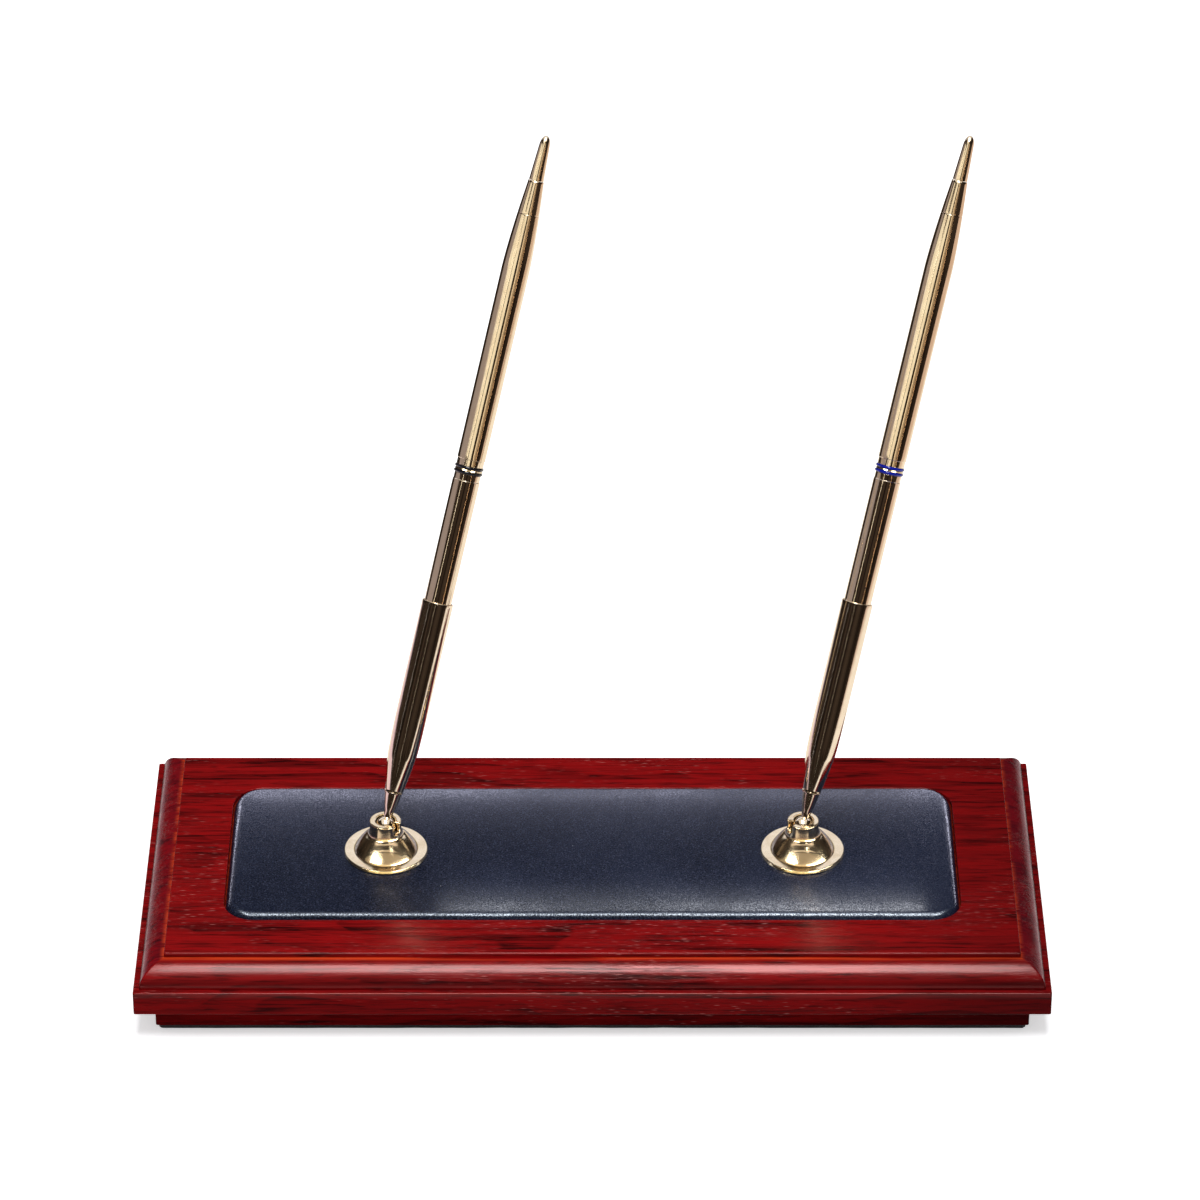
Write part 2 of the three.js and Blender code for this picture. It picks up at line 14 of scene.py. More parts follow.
import bmesh
import bpy
import numpy as np
from mathutils import Matrix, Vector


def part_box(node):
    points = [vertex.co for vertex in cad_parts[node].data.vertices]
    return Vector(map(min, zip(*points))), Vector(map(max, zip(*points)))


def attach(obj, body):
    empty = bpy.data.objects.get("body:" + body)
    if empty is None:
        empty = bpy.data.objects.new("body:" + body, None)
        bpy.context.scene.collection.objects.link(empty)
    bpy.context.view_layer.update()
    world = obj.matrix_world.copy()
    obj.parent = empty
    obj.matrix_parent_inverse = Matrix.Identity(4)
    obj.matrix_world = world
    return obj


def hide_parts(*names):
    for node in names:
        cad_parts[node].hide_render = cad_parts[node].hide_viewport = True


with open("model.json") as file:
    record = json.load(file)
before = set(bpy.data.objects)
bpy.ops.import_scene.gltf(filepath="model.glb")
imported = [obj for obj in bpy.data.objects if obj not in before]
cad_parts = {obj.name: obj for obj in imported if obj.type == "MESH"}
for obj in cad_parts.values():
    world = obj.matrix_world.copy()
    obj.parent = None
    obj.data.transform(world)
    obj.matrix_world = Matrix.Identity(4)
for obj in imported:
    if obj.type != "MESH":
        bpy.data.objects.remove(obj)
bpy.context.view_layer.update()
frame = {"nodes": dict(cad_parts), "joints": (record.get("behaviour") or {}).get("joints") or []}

log = logging.getLogger("pen_stand")

MM = 0.001
RADIAL = 128
SLIM_RADIAL = 96
Vector3 = tuple[float, float, float]
Colour = tuple[float, float, float]


class Slot(Enum):
    """Material slots of the record that new pieces take their finish from."""

    WOOD = "mahogany"
    FELT = "felt"
    FOAM = "foam"
    LEATHER = "leather"
    GOLD = "gold"
    BRASS = "brass"
    BLACK_RING = "black_ring"
    BLUE_RING = "blue_ring"


class Side(Enum):
    """The two holders, by the first word of their nodes' names."""

    LEFT = "left"
    RIGHT = "right"

    def own(self, part: str) -> str:
        """Give the full name of one of this side's nodes, bodies, joints or new pieces."""
        return f"{self.value}_{part}"


class Lit(Enum):
    """The pieces that a lamp is kept to: all, all but some, or one group."""

    ALL = "all"
    NOT_BELLS_OR_PAD = "not_bells_or_pad"
    BELLS = "bells"
    TUBES = "tubes"
    PENS = "pens"
    REARS = "rears"
    METAL = "metal"
    SLIM = "slim"
    LEATHER = "leather"


@dataclass(frozen=True)
class Axis:
    """A straight line that a turned piece stands on."""

    origin: Vector3
    direction: Vector3

    def basis(self) -> np.ndarray:
        """Find three unit vectors, the last one along the axis.

        Returns:
            A 3 by 3 array with one vector in each row.
        """
        along = np.array(self.direction, float)
        along = along / np.linalg.norm(along)
        side = np.cross([0.0, 1.0, 0.0], along)
        side = side / np.linalg.norm(side)
        return np.stack([side, np.cross(along, side), along])

    def place(self, points: np.ndarray) -> np.ndarray:
        """Carry points from the axis's own frame, where it is Z, to the part's frame.

        Args:
            points: Places in the last dimension of the array.

        Returns:
            The moved places, in an array of the same shape.
        """
        return points @ self.basis() + np.array(self.origin)

    def local(self, points: np.ndarray) -> np.ndarray:
        """Carry points from the part's frame to the axis's own frame."""
        return (points - np.array(self.origin)) @ self.basis().T


@dataclass(frozen=True)
class Span:
    """How far a node reaches along an axis and away from it."""

    start: float
    end: float
    radius: float


def node_points(node: str) -> np.ndarray:
    """Read the vertices of a node of the frame.

    Args:
        node: The node's name.

    Returns:
        One row of X, Y and Z in millimetres for each vertex.
    """
    vertices = frame["nodes"][node].data.vertices
    places = np.zeros(len(vertices) * 3)
    vertices.foreach_get("co", places)
    return places.reshape(-1, 3) / MM


def node_span(node: str, axis: Axis) -> Span:
    """Measure a node of the frame along an axis.

    Args:
        node: The node's name.
        axis: The axis that it is measured along.

    Returns:
        Its ends along the axis and its greatest radius, in millimetres.
    """
    local = axis.local(node_points(node))
    radii = np.hypot(local[:, 0], local[:, 1])
    return Span(float(local[:, 2].min()), float(local[:, 2].max()), float(radii.max()))


def node_box(node: str) -> tuple[np.ndarray, np.ndarray]:
    """Give the lowest and highest corners of a node, in millimetres."""
    low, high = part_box(node)
    return np.array(low) / MM, np.array(high) / MM


def rounded(corners: list[tuple[float, float, float]], steps: int = 5) -> np.ndarray:
    """Round the corners of an open outline with circular arcs.

    Each corner is replaced by the arc that touches both of its sides: the arc's
    middle lies on the bisector, and its ends lie radius * tan(turn / 2) away
    from the corner.

    Args:
        corners: X, Y and the arc's radius at each corner. The ends stay as they are.
        steps: The number of steps in each arc.

    Returns:
        The outline's points, one row of X and Y each.
    """
    points = np.array([corner[:2] for corner in corners], float)
    outline = [points[:1]]
    for index in range(1, len(corners) - 1):
        here, radius = points[index], corners[index][2]
        before = points[index - 1] - here
        after = points[index + 1] - here
        room = 0.49 * min(np.linalg.norm(before), np.linalg.norm(after))
        before = before / np.linalg.norm(before)
        after = after / np.linalg.norm(after)
        half = 0.5 * math.acos(float(np.clip(before @ after, -1, 1)))
        reach = min(radius / math.tan(half), room) if half < 1.55 else 0.0
        if reach < 1e-6:
            outline.append(here[None])
            continue
        radius = reach * math.tan(half)
        bisector = (before + after) / np.linalg.norm(before + after)
        middle = here + bisector * radius / math.sin(half)
        first, last = here + before * reach - middle, here + after * reach - middle
        start = math.atan2(first[1], first[0])
        turn = math.atan2(last[1], last[0]) - start
        turn = (turn + math.pi) % (2 * math.pi) - math.pi
        angles = start + turn * np.linspace(0, 1, steps + 1)
        outline.append(middle + radius * np.stack([np.cos(angles), np.sin(angles)], axis=1))
    outline.append(points[-1:])
    return np.concatenate(outline)


def curve(start: tuple, handle: tuple, far_handle: tuple, end: tuple, steps: int) -> np.ndarray:
    """Give the points of a cubic curve between two places, both included.

    Args:
        start: The first point.
        handle: The point that the curve sets off towards.
        far_handle: The point that it comes in from.
        end: The last point.
        steps: The number of steps.

    Returns:
        One row for each point.
    """
    share = np.linspace(0, 1, steps + 1)[:, None]
    rest = 1 - share
    return (
        rest**3 * np.array(start)
        + 3 * rest**2 * share * np.array(handle)
        + 3 * rest * share**2 * np.array(far_handle)
        + share**3 * np.array(end)
    )


def revolve(outline: np.ndarray, axis: Axis, facets: int = RADIAL) -> np.ndarray:
    """Turn an outline of radius and height round an axis.

    A point at radius r and height h, turned by angle a, lies at r cos a, r sin a, h.

    Args:
        outline: One row of radius and height for each point.
        axis: The axis that the piece is turned about.
        facets: The number of steps round the axis.

    Returns:
        A grid of places: outline points by steps by X, Y and Z.
    """
    angles = np.linspace(0, 2 * math.pi, facets, endpoint=False)
    radii, heights = outline[:, :1], outline[:, 1:]
    across = np.stack([radii * np.cos(angles), radii * np.sin(angles)], axis=2)
    upward = np.broadcast_to(heights[..., None], (len(outline), facets, 1))
    return axis.place(np.concatenate([across, upward], axis=2))


def grid_faces(rows: int, columns: int, wrap_rows: bool, wrap_columns: bool) -> np.ndarray:
    """Number the corners of the quads of a grid of points.

    Args:
        rows: The number of rows of points.
        columns: The number of points in each row.
        wrap_rows: Whether the last row joins the first.
        wrap_columns: Whether the last column joins the first.

    Returns:
        One row of four point numbers for each quad.
    """
    row = np.arange(rows if wrap_rows else rows - 1)[:, None]
    column = np.arange(columns if wrap_columns else columns - 1)[None, :]
    next_row, next_column = (row + 1) % rows, (column + 1) % columns
    quads = [
        row * columns + column,
        row * columns + next_column,
        next_row * columns + next_column,
        next_row * columns + column,
    ]
    return np.stack(quads, axis=2).reshape(-1, 4)


def surface(
    name: str,
    points: np.ndarray,
    wrap_rows: bool = False,
    wrap_columns: bool = True,
    sharp: float = 40.0,
) -> bpy.types.Object:
    """Put a grid of places into a closed mesh.

    Points that fall together, as at a pole or a seam, are merged, and the faces
    are then turned outwards.

    Args:
        name: The new object's name.
        points: A grid of places in millimetres: rows by columns by X, Y and Z.
        wrap_rows: Whether the last row joins the first.
        wrap_columns: Whether the last column joins the first.
        sharp: The angle in degrees above which an edge is shaded sharp.

    Returns:
        The new object, at the origin.
    """
    rows, columns = points.shape[:2]
    quads = grid_faces(rows, columns, wrap_rows, wrap_columns)
    mesh = bpy.data.meshes.new(name)
    mesh.vertices.add(rows * columns)
    mesh.vertices.foreach_set("co", (points * MM).astype(np.float32).ravel())
    mesh.loops.add(quads.size)
    mesh.loops.foreach_set("vertex_index", quads.astype(np.int32).ravel())
    mesh.polygons.add(len(quads))
    mesh.polygons.foreach_set("loop_start", np.arange(len(quads), dtype=np.int32) * 4)
    mesh.update(calc_edges=True)
    weld(mesh)
    shade(mesh, sharp)
    piece = bpy.data.objects.new(name, mesh)
    bpy.context.scene.collection.objects.link(piece)
    return piece


def weld(mesh: bpy.types.Mesh) -> None:
    """Merge the points of a mesh that fall together and turn its faces outwards.

    Args:
        mesh: The mesh, which is changed.
    """
    work = bmesh.new()
    work.from_mesh(mesh)
    bmesh.ops.remove_doubles(work, verts=work.verts, dist=2e-7)
    bmesh.ops.dissolve_degenerate(work, edges=work.edges, dist=1e-8)
    bmesh.ops.recalc_face_normals(work, faces=work.faces)
    work.to_mesh(mesh)
    work.free()


def shade(mesh: bpy.types.Mesh, sharp: float) -> None:
    """Shade a mesh smooth, but not across edges sharper than an angle in degrees."""
    mesh.polygons.foreach_set("use_smooth", np.ones(len(mesh.polygons), bool))
    mesh.set_sharp_from_angle(angle=math.radians(sharp))


def bake(piece: bpy.types.Object, sharp: float = 40.0) -> None:
    """Apply a piece's modifiers to its mesh.

    Args:
        piece: The object, whose modifiers are gone afterwards.
        sharp: The angle in degrees above which an edge is shaded sharp.
    """
    graph = bpy.context.evaluated_depsgraph_get()
    mesh = bpy.data.meshes.new_from_object(piece.evaluated_get(graph))
    mesh.name = piece.name
    piece.modifiers.clear()
    piece.data = mesh
    shade(mesh, sharp)


def drill(piece: bpy.types.Object, outline: np.ndarray, places: list[Vector3]) -> None:
    """Cut the same turned shape out of a piece at several places.

    Args:
        piece: The object to cut, a closed mesh.
        outline: Radius and height of the cutter's points, from the axis back to it.
        places: Where the cutter stands.
    """
    for place in places:
        cutter = surface("cutter", revolve(outline, Axis(place, (0, 0, 1)), 64))
        modifier = piece.modifiers.new("cut", "BOOLEAN")
        modifier.operation = "DIFFERENCE"
        modifier.object = cutter
        modifier.solver = "EXACT"
        bake(piece)
        bpy.data.objects.remove(cutter)


def cover(piece: bpy.types.Object, material: bpy.types.Material) -> None:
    """Give all of a piece's faces one material."""
    piece.data.materials.clear()
    piece.data.materials.append(material)


dressed: list[bpy.types.Object] = []


def dress(
    piece: bpy.types.Object,
    material: bpy.types.Material,
    body: str,
    slot: Slot,
    *nodes: str,
) -> None:
    """Give a piece its material and its body, and hide the nodes that it stands for.

    Args:
        piece: The finished object.
        material: The material of all its faces.
        body: The CAD body that it rides on.
        slot: The record's slot that its finish belongs to; not used.
        nodes: The CAD nodes that it replaces.
    """
    cover(piece, material)
    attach(piece, body)
    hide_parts(*nodes)
    dressed.append(piece)
    log.info("%s: %d faces on %s", piece.name, len(piece.data.polygons), body)


class Value:
    """A number, colour or place that changes over a surface: one output of a node.

    Adding, taking away, multiplying and raising to a power put Math nodes into
    the value's graph.
    """

    def __init__(self, graph: "Graph", socket: bpy.types.NodeSocket) -> None:
        """Hold an output of one of a graph's nodes."""
        self.graph = graph
        self.socket = socket

    def __add__(self, other: "Value | float") -> "Value":
        """Add a value or a number."""
        return self.graph.math("ADD", self, other)

    def __sub__(self, other: "Value | float") -> "Value":
        """Take a value or a number away."""
        return self.graph.math("SUBTRACT", self, other)

    def __rsub__(self, other: float) -> "Value":
        """Take the value away from a number."""
        return self.graph.math("SUBTRACT", other, self)

    def __mul__(self, other: "Value | float") -> "Value":
        """Multiply by a value or a number."""
        return self.graph.math("MULTIPLY", self, other)

    def __pow__(self, power: float) -> "Value":
        """Raise to a power."""
        return self.graph.math("POWER", self, power)

    def __abs__(self) -> "Value":
        """Drop the sign."""
        return self.graph.math("ABSOLUTE", self)

    def clamped(self) -> "Value":
        """Keep the result of the last sum or product between 0 and 1."""
        self.socket.node.use_clamp = True
        return self

    def span(
        self,
        low: "Value | float",
        high: "Value | float",
        to_low: float = 0.0,
        to_high: float = 1.0,
    ) -> "Value":
        """Map the value smoothly from one range to another.

        Args:
            low: The value that becomes to_low.
            high: The value that becomes to_high.
            to_low: The result at low and beyond it.
            to_high: The result at high and beyond it.

        Returns:
            The mapped value.
        """
        ends = {0: self, 1: low, 2: high, 3: to_low, 4: to_high}
        return self.graph.read("ShaderNodeMapRange", ends, interpolation_type="SMOOTHSTEP")

    def between(
        self, low: float, high: float, to_low: float = 0.0, to_high: float = 1.0
    ) -> "Value":
        """Map a length as span does, with low and high in millimetres."""
        return self.span(low * MM, high * MM, to_low, to_high)


class Graph:
    """A node tree that is filled by short calls."""

    def __init__(self, tree: bpy.types.NodeTree) -> None:
        """Start with an empty tree."""
        self.tree = tree
        tree.nodes.clear()

    def feed(self, socket: bpy.types.NodeSocket, value: object) -> None:
        """Link a value to a node's input, or write a constant into it.

        Args:
            socket: The node's input.
            value: A value, or a constant of its kind.
        """
        if isinstance(value, Value):
            self.tree.links.new(value.socket, socket)
        else:
            socket.default_value = value

    def add(self, kind: str, inputs: dict | None = None, **settings: object) -> bpy.types.Node:
        """Add a node.

        Args:
            kind: The node's type.
            inputs: A value or a constant for each input, by name or number.
            settings: The node's own properties.

        Returns:
            The new node.
        """
        node = self.tree.nodes.new(kind)
        for key, value in settings.items():
            setattr(node, key, value)
        for key, value in (inputs or {}).items():
            self.feed(node.inputs[key], value)
        return node

    def read(
        self,
        kind: str,
        inputs: dict | None = None,
        output: str | int = 0,
        **settings: object,
    ) -> Value:
        """Add a node as add does, and give one of its outputs."""
        return Value(self, self.add(kind, inputs, **settings).outputs[output])

    def math(self, operation: str, *values: "Value | float") -> Value:
        """Work out one operation on values or numbers."""
        return self.read("ShaderNodeMath", dict(enumerate(values)), operation=operation)

    def blend(
        self,
        factor: Value | float,
        first: Value | Colour,
        second: Value | Colour,
    ) -> Value:
        """Mix two colours by a factor.

        Args:
            factor: The share of the second colour.
            first: The first colour.
            second: The second colour.

        Returns:
            The mixed colour.
        """
        node = self.add("ShaderNodeMix", {0: factor}, data_type="RGBA")
        for index, colour in ((6, first), (7, second)):
            self.feed(node.inputs[index], colour if isinstance(colour, Value) else (*colour, 1.0))
        return Value(self, node.outputs[2])

    def coordinates(self, kind: str = "Object") -> Value:
        """Give one kind of a piece's coordinates."""
        return self.read("ShaderNodeTexCoord", output=kind)

    def split(self, vector: Value) -> list[Value]:
        """Give the X, Y and Z of a vector."""
        node = self.add("ShaderNodeSeparateXYZ", {0: vector})
        return [Value(self, socket) for socket in node.outputs]

    def stretched(self, scale: Vector3, turn: Vector3 = (0, 0, 0)) -> Value:
        """Give Object coordinates multiplied by a scale along each axis."""
        mapping = {"Vector": self.coordinates(), "Scale": scale, "Rotation": turn}
        return self.read("ShaderNodeMapping", mapping)

    def leaning(self, axis: Axis, scale: Vector3) -> Value:
        """Give coordinates whose Z runs along an axis, multiplied by a scale along each.

        A Mapping node of the Texture kind turns and divides, so it gets the
        axis's own turn and the inverse of the scale.

        Args:
            axis: The axis.
            scale: The scale across the axis, twice, and along it.

        Returns:
            The coordinates.
        """
        mapping = {
            "Vector": self.coordinates(),
            "Scale": [1 / value for value in scale],
            "Rotation": list(Matrix(axis.basis().T.tolist()).to_euler()),
        }
        return self.read("ShaderNodeMapping", mapping, vector_type="TEXTURE")

    def noise(
        self, place: Value, scale: Value | float, detail: float, distortion: float = 0.0
    ) -> Value:
        """Give soft noise at a place, of a scale, a number of finer layers and a distortion."""
        inputs = {"Vector": place, "Scale": scale, "Detail": detail, "Distortion": distortion}
        return self.read("ShaderNodeTexNoise", inputs)

    def cells(self, place: Value, scale: Value | float) -> Value:
        """Give the distance to the middle of the nearest cell of a scattered pattern."""
        return self.read("ShaderNodeTexVoronoi", {"Vector": place, "Scale": scale}, "Distance")

    def use(self, effect: bpy.types.NodeTree, place: Value, **numbers: float) -> Value:
        """Place one of the shared effects.

        Args:
            effect: The effect's node group.
            place: The coordinates that it reads.
            numbers: The values of its number inputs, by their names in small letters.

        Returns:
            The group's output.
        """
        inputs = {"Vector": place}
        inputs.update({label.capitalize(): number for label, number in numbers.items()})
        return self.read("ShaderNodeGroup", inputs, node_tree=effect)

    def settle(self, shader: bpy.types.Node, **values: object) -> None:
        """Set a shader's inputs, named with underscores for spaces."""
        for label, value in values.items():
            self.feed(shader.inputs[label.replace("_", " ")], value)

    def bump(self, shader: bpy.types.Node, height: Value, strength: float, depth: float) -> None:
        """Feed a height into a shader's normal.

        Args:
            shader: A Principled shader.
            height: The height, from 0 to 1.
            strength: How much of the bump is used.
            depth: The height of a step from 0 to 1, in metres.
        """
        relief = {"Strength": strength, "Distance": depth, "Height": height}
        self.settle(shader, Normal=self.read("ShaderNodeBump", relief))

    def show(self, shader: bpy.types.Node, kind: str = "ShaderNodeOutputMaterial") -> None:
        """Lead a shader to the tree's output, of a kind for a material or for the world."""
        self.add(kind, {0: Value(self, shader.outputs[0])})


def new_material(name: str) -> tuple[bpy.types.Material, Graph]:
    """Start a material with an empty graph.

    Args:
        name: The material's name.

    Returns:
        The material and its graph.
    """
    material = bpy.data.materials.new(name)
    material.use_nodes = True
    return material, Graph(material.node_tree)


def new_finish(name: str) -> tuple[bpy.types.Material, Graph, bpy.types.Node]:
    """Start a material with one surface shader.

    Args:
        name: The material's name.

    Returns:
        The material, its graph and its Principled shader.
    """
    material, graph = new_material(name)
    shader = graph.add("ShaderNodeBsdfPrincipled")
    graph.show(shader)
    return material, graph, shader


class Effect(Graph):
    """A shader node group: coordinates and numbers go in, one value comes out."""

    def __init__(self, name: str, **numbers: float) -> None:
        """Start the group.

        Args:
            name: The group's name.
            numbers: The name and the first value of each number input.
        """
        super().__init__(bpy.data.node_groups.new(name, "ShaderNodeTree"))
        face = self.tree.interface
        face.new_socket("Vector", in_out="INPUT", socket_type="NodeSocketVector")
        for label, number in numbers.items():
            socket = face.new_socket(label, in_out="INPUT", socket_type="NodeSocketFloat")
            socket.default_value = number
        face.new_socket("Value", in_out="OUTPUT", socket_type="NodeSocketFloat")
        given = self.add("NodeGroupInput").outputs
        self.given = [Value(self, given[label]) for label in ("Vector", *numbers)]

    def result(self, value: Value) -> bpy.types.NodeTree:
        """Lead a value to the group's output and give the finished group."""
        self.add("NodeGroupOutput", {"Value": value})
        return self.tree


class Effects:
    """Shader node groups that several finishes share, each built once."""

    def __init__(self) -> None:
        """Build the groups."""
        self.fibres = self._fibres()
        self.mottle = self._mottle()
        self.specks = self._specks()

    @staticmethod
    def _fibres() -> bpy.types.NodeTree:
        """Add up fine and coarse noise, which stretched coordinates draw out into fibres.

        Returns:
            The group.
        """
        effect = Effect("fibres", Scale=1.0, Contrast=1.0)
        place, scale, contrast = effect.given
        both = effect.noise(place, scale, 3.0) + effect.noise(place, scale * 3.7, 2.0) * 0.6
        return effect.result(((both - 0.8) * contrast + 0.5).clamped())

    @staticmethod
    def _mottle() -> bpy.types.NodeTree:
        """Make soft clouds between two levels of noise.

        Returns:
            The group.
        """
        effect = Effect("mottle", Scale=50.0, Low=0.4, High=0.6)
        place, scale, low, high = effect.given
        return effect.result(effect.noise(place, scale, 4.0, 0.6).span(low, high))

    @staticmethod
    def _specks() -> bpy.types.NodeTree:
        """Make small separate spots round the points of a cell pattern.

        Returns:
            The group.
        """
        effect = Effect("specks", Scale=900.0, Size=0.12)
        place, scale, size = effect.given
        ramp = {0: effect.cells(place, scale), 1: size, 2: 0.0}
        return effect.result(effect.read("ShaderNodeMapRange", ramp))


@dataclass(frozen=True)
class BoardPlace:
    """Where a point of the wooden base lies, as values of its material."""

    x: Value
    y: Value
    z: Value
    from_end: Value
    from_side: Value
    inset: Value


@dataclass(frozen=True)
class LacqueredWood:
    """Open-grained wood with a dark red stain under gloss lacquer, with painted shade, a painted catch
    light and a painted sheen.
    """

    light: Colour = (0.208, 0.0028, 0.0036)
    # A lilac sheen painted on the rounds of the board's ends.
    painted_sheen: Colour = (0.24, 0.014, 0.044)
    # The dark of the grain, also used for painted shade.
    dark: Colour = (0.026, 0.0010, 0.0015)
    # An orange catch light painted along the riser's foot and the ledge's edge.
    painted_catch_light: Colour = (0.50, 0.042, 0.010)
    pore: Colour = (0.60, 0.22, 0.20)
    ring_spacing: float = 6.5
    pith_front: float = 20.0
    pith_depth: float = 45.0
    pith_lean: float = 0.09
    wander: float = 45.0
    grain_turn: float = 4.5

    def material(self, effects: Effects, base: "WoodenBase") -> bpy.types.Material:
        """Build the material.

        Args:
            effects: The shared node groups.
            base: The wooden base, whose edges the painted catch light, shade and sheen follow.

        Returns:
            The material.
        """
        material, graph, shader = new_finish("lacquered_wood")
        x, y, z = graph.split(graph.coordinates())
        from_end = base.half_length * MM - abs(x)
        from_side = base.half_depth * MM - abs(y)
        inset = graph.math("MINIMUM", from_end, from_side)
        place = BoardPlace(x, y, z, from_end, from_side, inset)
        fibre = graph.use(
            effects.fibres, graph.stretched((14.0, 420.0, 420.0)), scale=1.0, contrast=1.6
        )
        patch = graph.use(
            effects.mottle, graph.stretched((16.0, 60.0, 60.0)), scale=1.0, low=0.46, high=0.60
        )
        pores = self.short_pores(graph, effects, patch)
        ledge = base.ledge_top
        low_round = z.between(ledge + 3.4, ledge + 1.6) * inset.between(1.4, 1.8)
        side_round = self.side_round(place, base)
        colour = graph.blend(self.figure(graph, effects, place, fibre), self.light, self.dark)
        # Paint an orange catch light along the sharp edges of the riser and the ledge.
        colour = graph.blend(self.catch_light_edges(graph, place, base, fibre), colour, self.painted_catch_light)
        colour = graph.blend((pores * 0.75).clamped(), colour, self.pore)
        # Paint shade on the upright band, the lower part of the quarter-rounds and the end rounds, and
        # darken towards the right end.
        shaded = self.band_shade(place, base) + low_round * 0.5 + side_round * 0.3
        towards_right = x.span(0.06, 0.11, 0.0, 0.36)
        colour = graph.blend((shaded + towards_right).clamped(), colour, self.dark)
        # Paint a lilac sheen on the upper part of the end rounds.
        painted_sheen = side_round * z.between(ledge + 4.6, ledge + 2.8, 0.08, 0.42)
        colour = graph.blend(painted_sheen, colour, self.painted_sheen)
        gloss = self.gloss(graph) * (1.0 - low_round * 0.8)
        graph.settle(
            shader,
            Base_Color=colour,
            Roughness=fibre.span(0.0, 1.0, 0.22, 0.34),
            Coat_Weight=gloss * 0.28,
            Specular_IOR_Level=gloss * 0.85,
            Coat_Roughness=0.18,
            Coat_IOR=1.6,
            Specular_Tint=(1.0, 0.42, 0.40, 1.0),
        )
        grain = graph.use(
            effects.fibres, graph.stretched((45.0, 1500.0, 1500.0)), scale=1.0, contrast=2.2
        )
        open_grain = grain.span(0.62, 0.3) * patch.span(0.0, 1.0, 0.12, 1.0)
        graph.bump(shader, 1.0 - (open_grain * 0.7 + pores), 0.55, 0.00016)
        return material

    def figure(
        self, graph: Graph, effects: Effects, place: BoardPlace, fibre: Value
    ) -> Value:
        """Work out how dark the grain is.

        Growth rings are cylinders round a tilted pith under the board: the ring
        number grows with the distance from it, with some noise, so the top shows
        long arches and the ends show arcs. Streaks and short dashes lie over them.

        Args:
            graph: The material's graph.
            effects: The shared node groups.
            place: Where a point lies on the board.
            fibre: The fine grain.

        Returns:
            A share of the dark colour, from 0 to 1.
        """
        across = place.y + place.x * self.pith_lean + self.pith_front * MM
        below = place.z + self.pith_depth * MM
        distance = graph.math("SQRT", across**2.0 + below**2.0)
        wave = graph.noise(graph.stretched((9.0, 30.0, 30.0)), 1.0, 3.0) - 0.5
        rings = (distance + wave * (self.wander * MM)) * (1 / (self.ring_spacing * MM))
        phase = graph.math("FRACT", rings)
        late = phase.span(0.35, 0.92) * phase.span(1.0, 0.93)
        turn = (0.0, 0.0, math.radians(self.grain_turn))
        long, short = (9.0, 560.0, 560.0), (120.0, 1500.0, 1500.0)
        streak = graph.use(
            effects.mottle, graph.stretched(long, turn), scale=1.0, low=0.46, high=0.60
        )
        dash = graph.use(
            effects.mottle, graph.stretched(short, turn), scale=1.0, low=0.48, high=0.66
        )
        tone = late * streak.span(0.0, 1.0, 0.26, 0.50) + streak * 0.24 + dash * 0.46
        return (tone + (fibre - 0.5) * 0.6).clamped()

    @staticmethod
    def catch_light_edges(graph: Graph, place: BoardPlace, base: "WoodenBase", fibre: Value) -> Value:
        """Find the sharp edges at the riser and the ledge, where an orange catch light is painted.

        Args:
            graph: The material's graph.
            place: Where a point lies on the board.
            base: The wooden base.
            fibre: The fine grain.

        Returns:
            A share of the painted catch light, from 0 to 1.
        """
        foot, ledge = base.riser_bottom, base.ledge_top
        at_riser = place.inset.between(base.riser_inset - 1.5, base.riser_inset - 0.2)
        at_riser = at_riser * place.z.between(foot + 0.35, foot + 0.1)
        at_ledge = place.inset.between(0.35, 0.05) * place.z.between(ledge - 0.35, ledge - 0.05)
        return graph.math("MAXIMUM", at_riser, at_ledge * 0.35) * fibre.span(0.15, 0.75)

    @staticmethod
    def side_round(place: BoardPlace, base: "WoodenBase") -> Value:
        """Find the quarter-rounds of the board's two ends, above their foot.

        Args:
            place: Where a point lies on the board.
            base: The wooden base.

        Returns:
            1 on these rounds and 0 elsewhere.
        """
        sideways = (place.from_side - place.from_end).between(0.0, 0.4)
        raised = place.z.between(base.ledge_top + 1.4, base.ledge_top + 2.6)
        return sideways * (raised * place.inset.between(base.riser_inset - 0.1, base.riser_inset - 0.6))

    @staticmethod
    def band_shade(place: BoardPlace, base: "WoodenBase") -> Value:
        """Find the upright band between the ledge and the plinth, where shade is painted."""
        below_ledge = place.z.between(base.ledge_top, base.ledge_top - 0.2, 0.0, 0.36)
        return below_ledge * place.z.between(base.plinth_top - 0.3, base.plinth_top)

    @staticmethod
    def short_pores(graph: Graph, effects: Effects, patch: Value) -> Value:
        """Scatter short light pores along the grain, in patches."""
        place = graph.stretched((0.11, 1.0, 1.0))
        return graph.use(effects.specks, place, scale=1900.0, size=0.22) * patch

    @staticmethod
    def gloss(graph: Graph) -> Value:
        """Work out how strongly the lacquer shines, from the way a face looks.

        Level and upright faces get little of it, the rounds of the front and the
        back get all of it, and the rounds of the ends only where they are steep.

        Args:
            graph: The material's graph.

        Returns:
            A factor from 0 to 1.
        """
        sideways, _, upward = graph.split(graph.coordinates("Normal"))
        aside = abs(sideways)
        level = upward.span(0.03, 0.2, 0.03, 1.0) * upward.span(0.93, 0.995, 1.0, 0.22)
        return level * (aside.span(0.12, 0.3, 1.0, 0.12) + aside.span(0.80, 0.88, 0.0, 0.5))


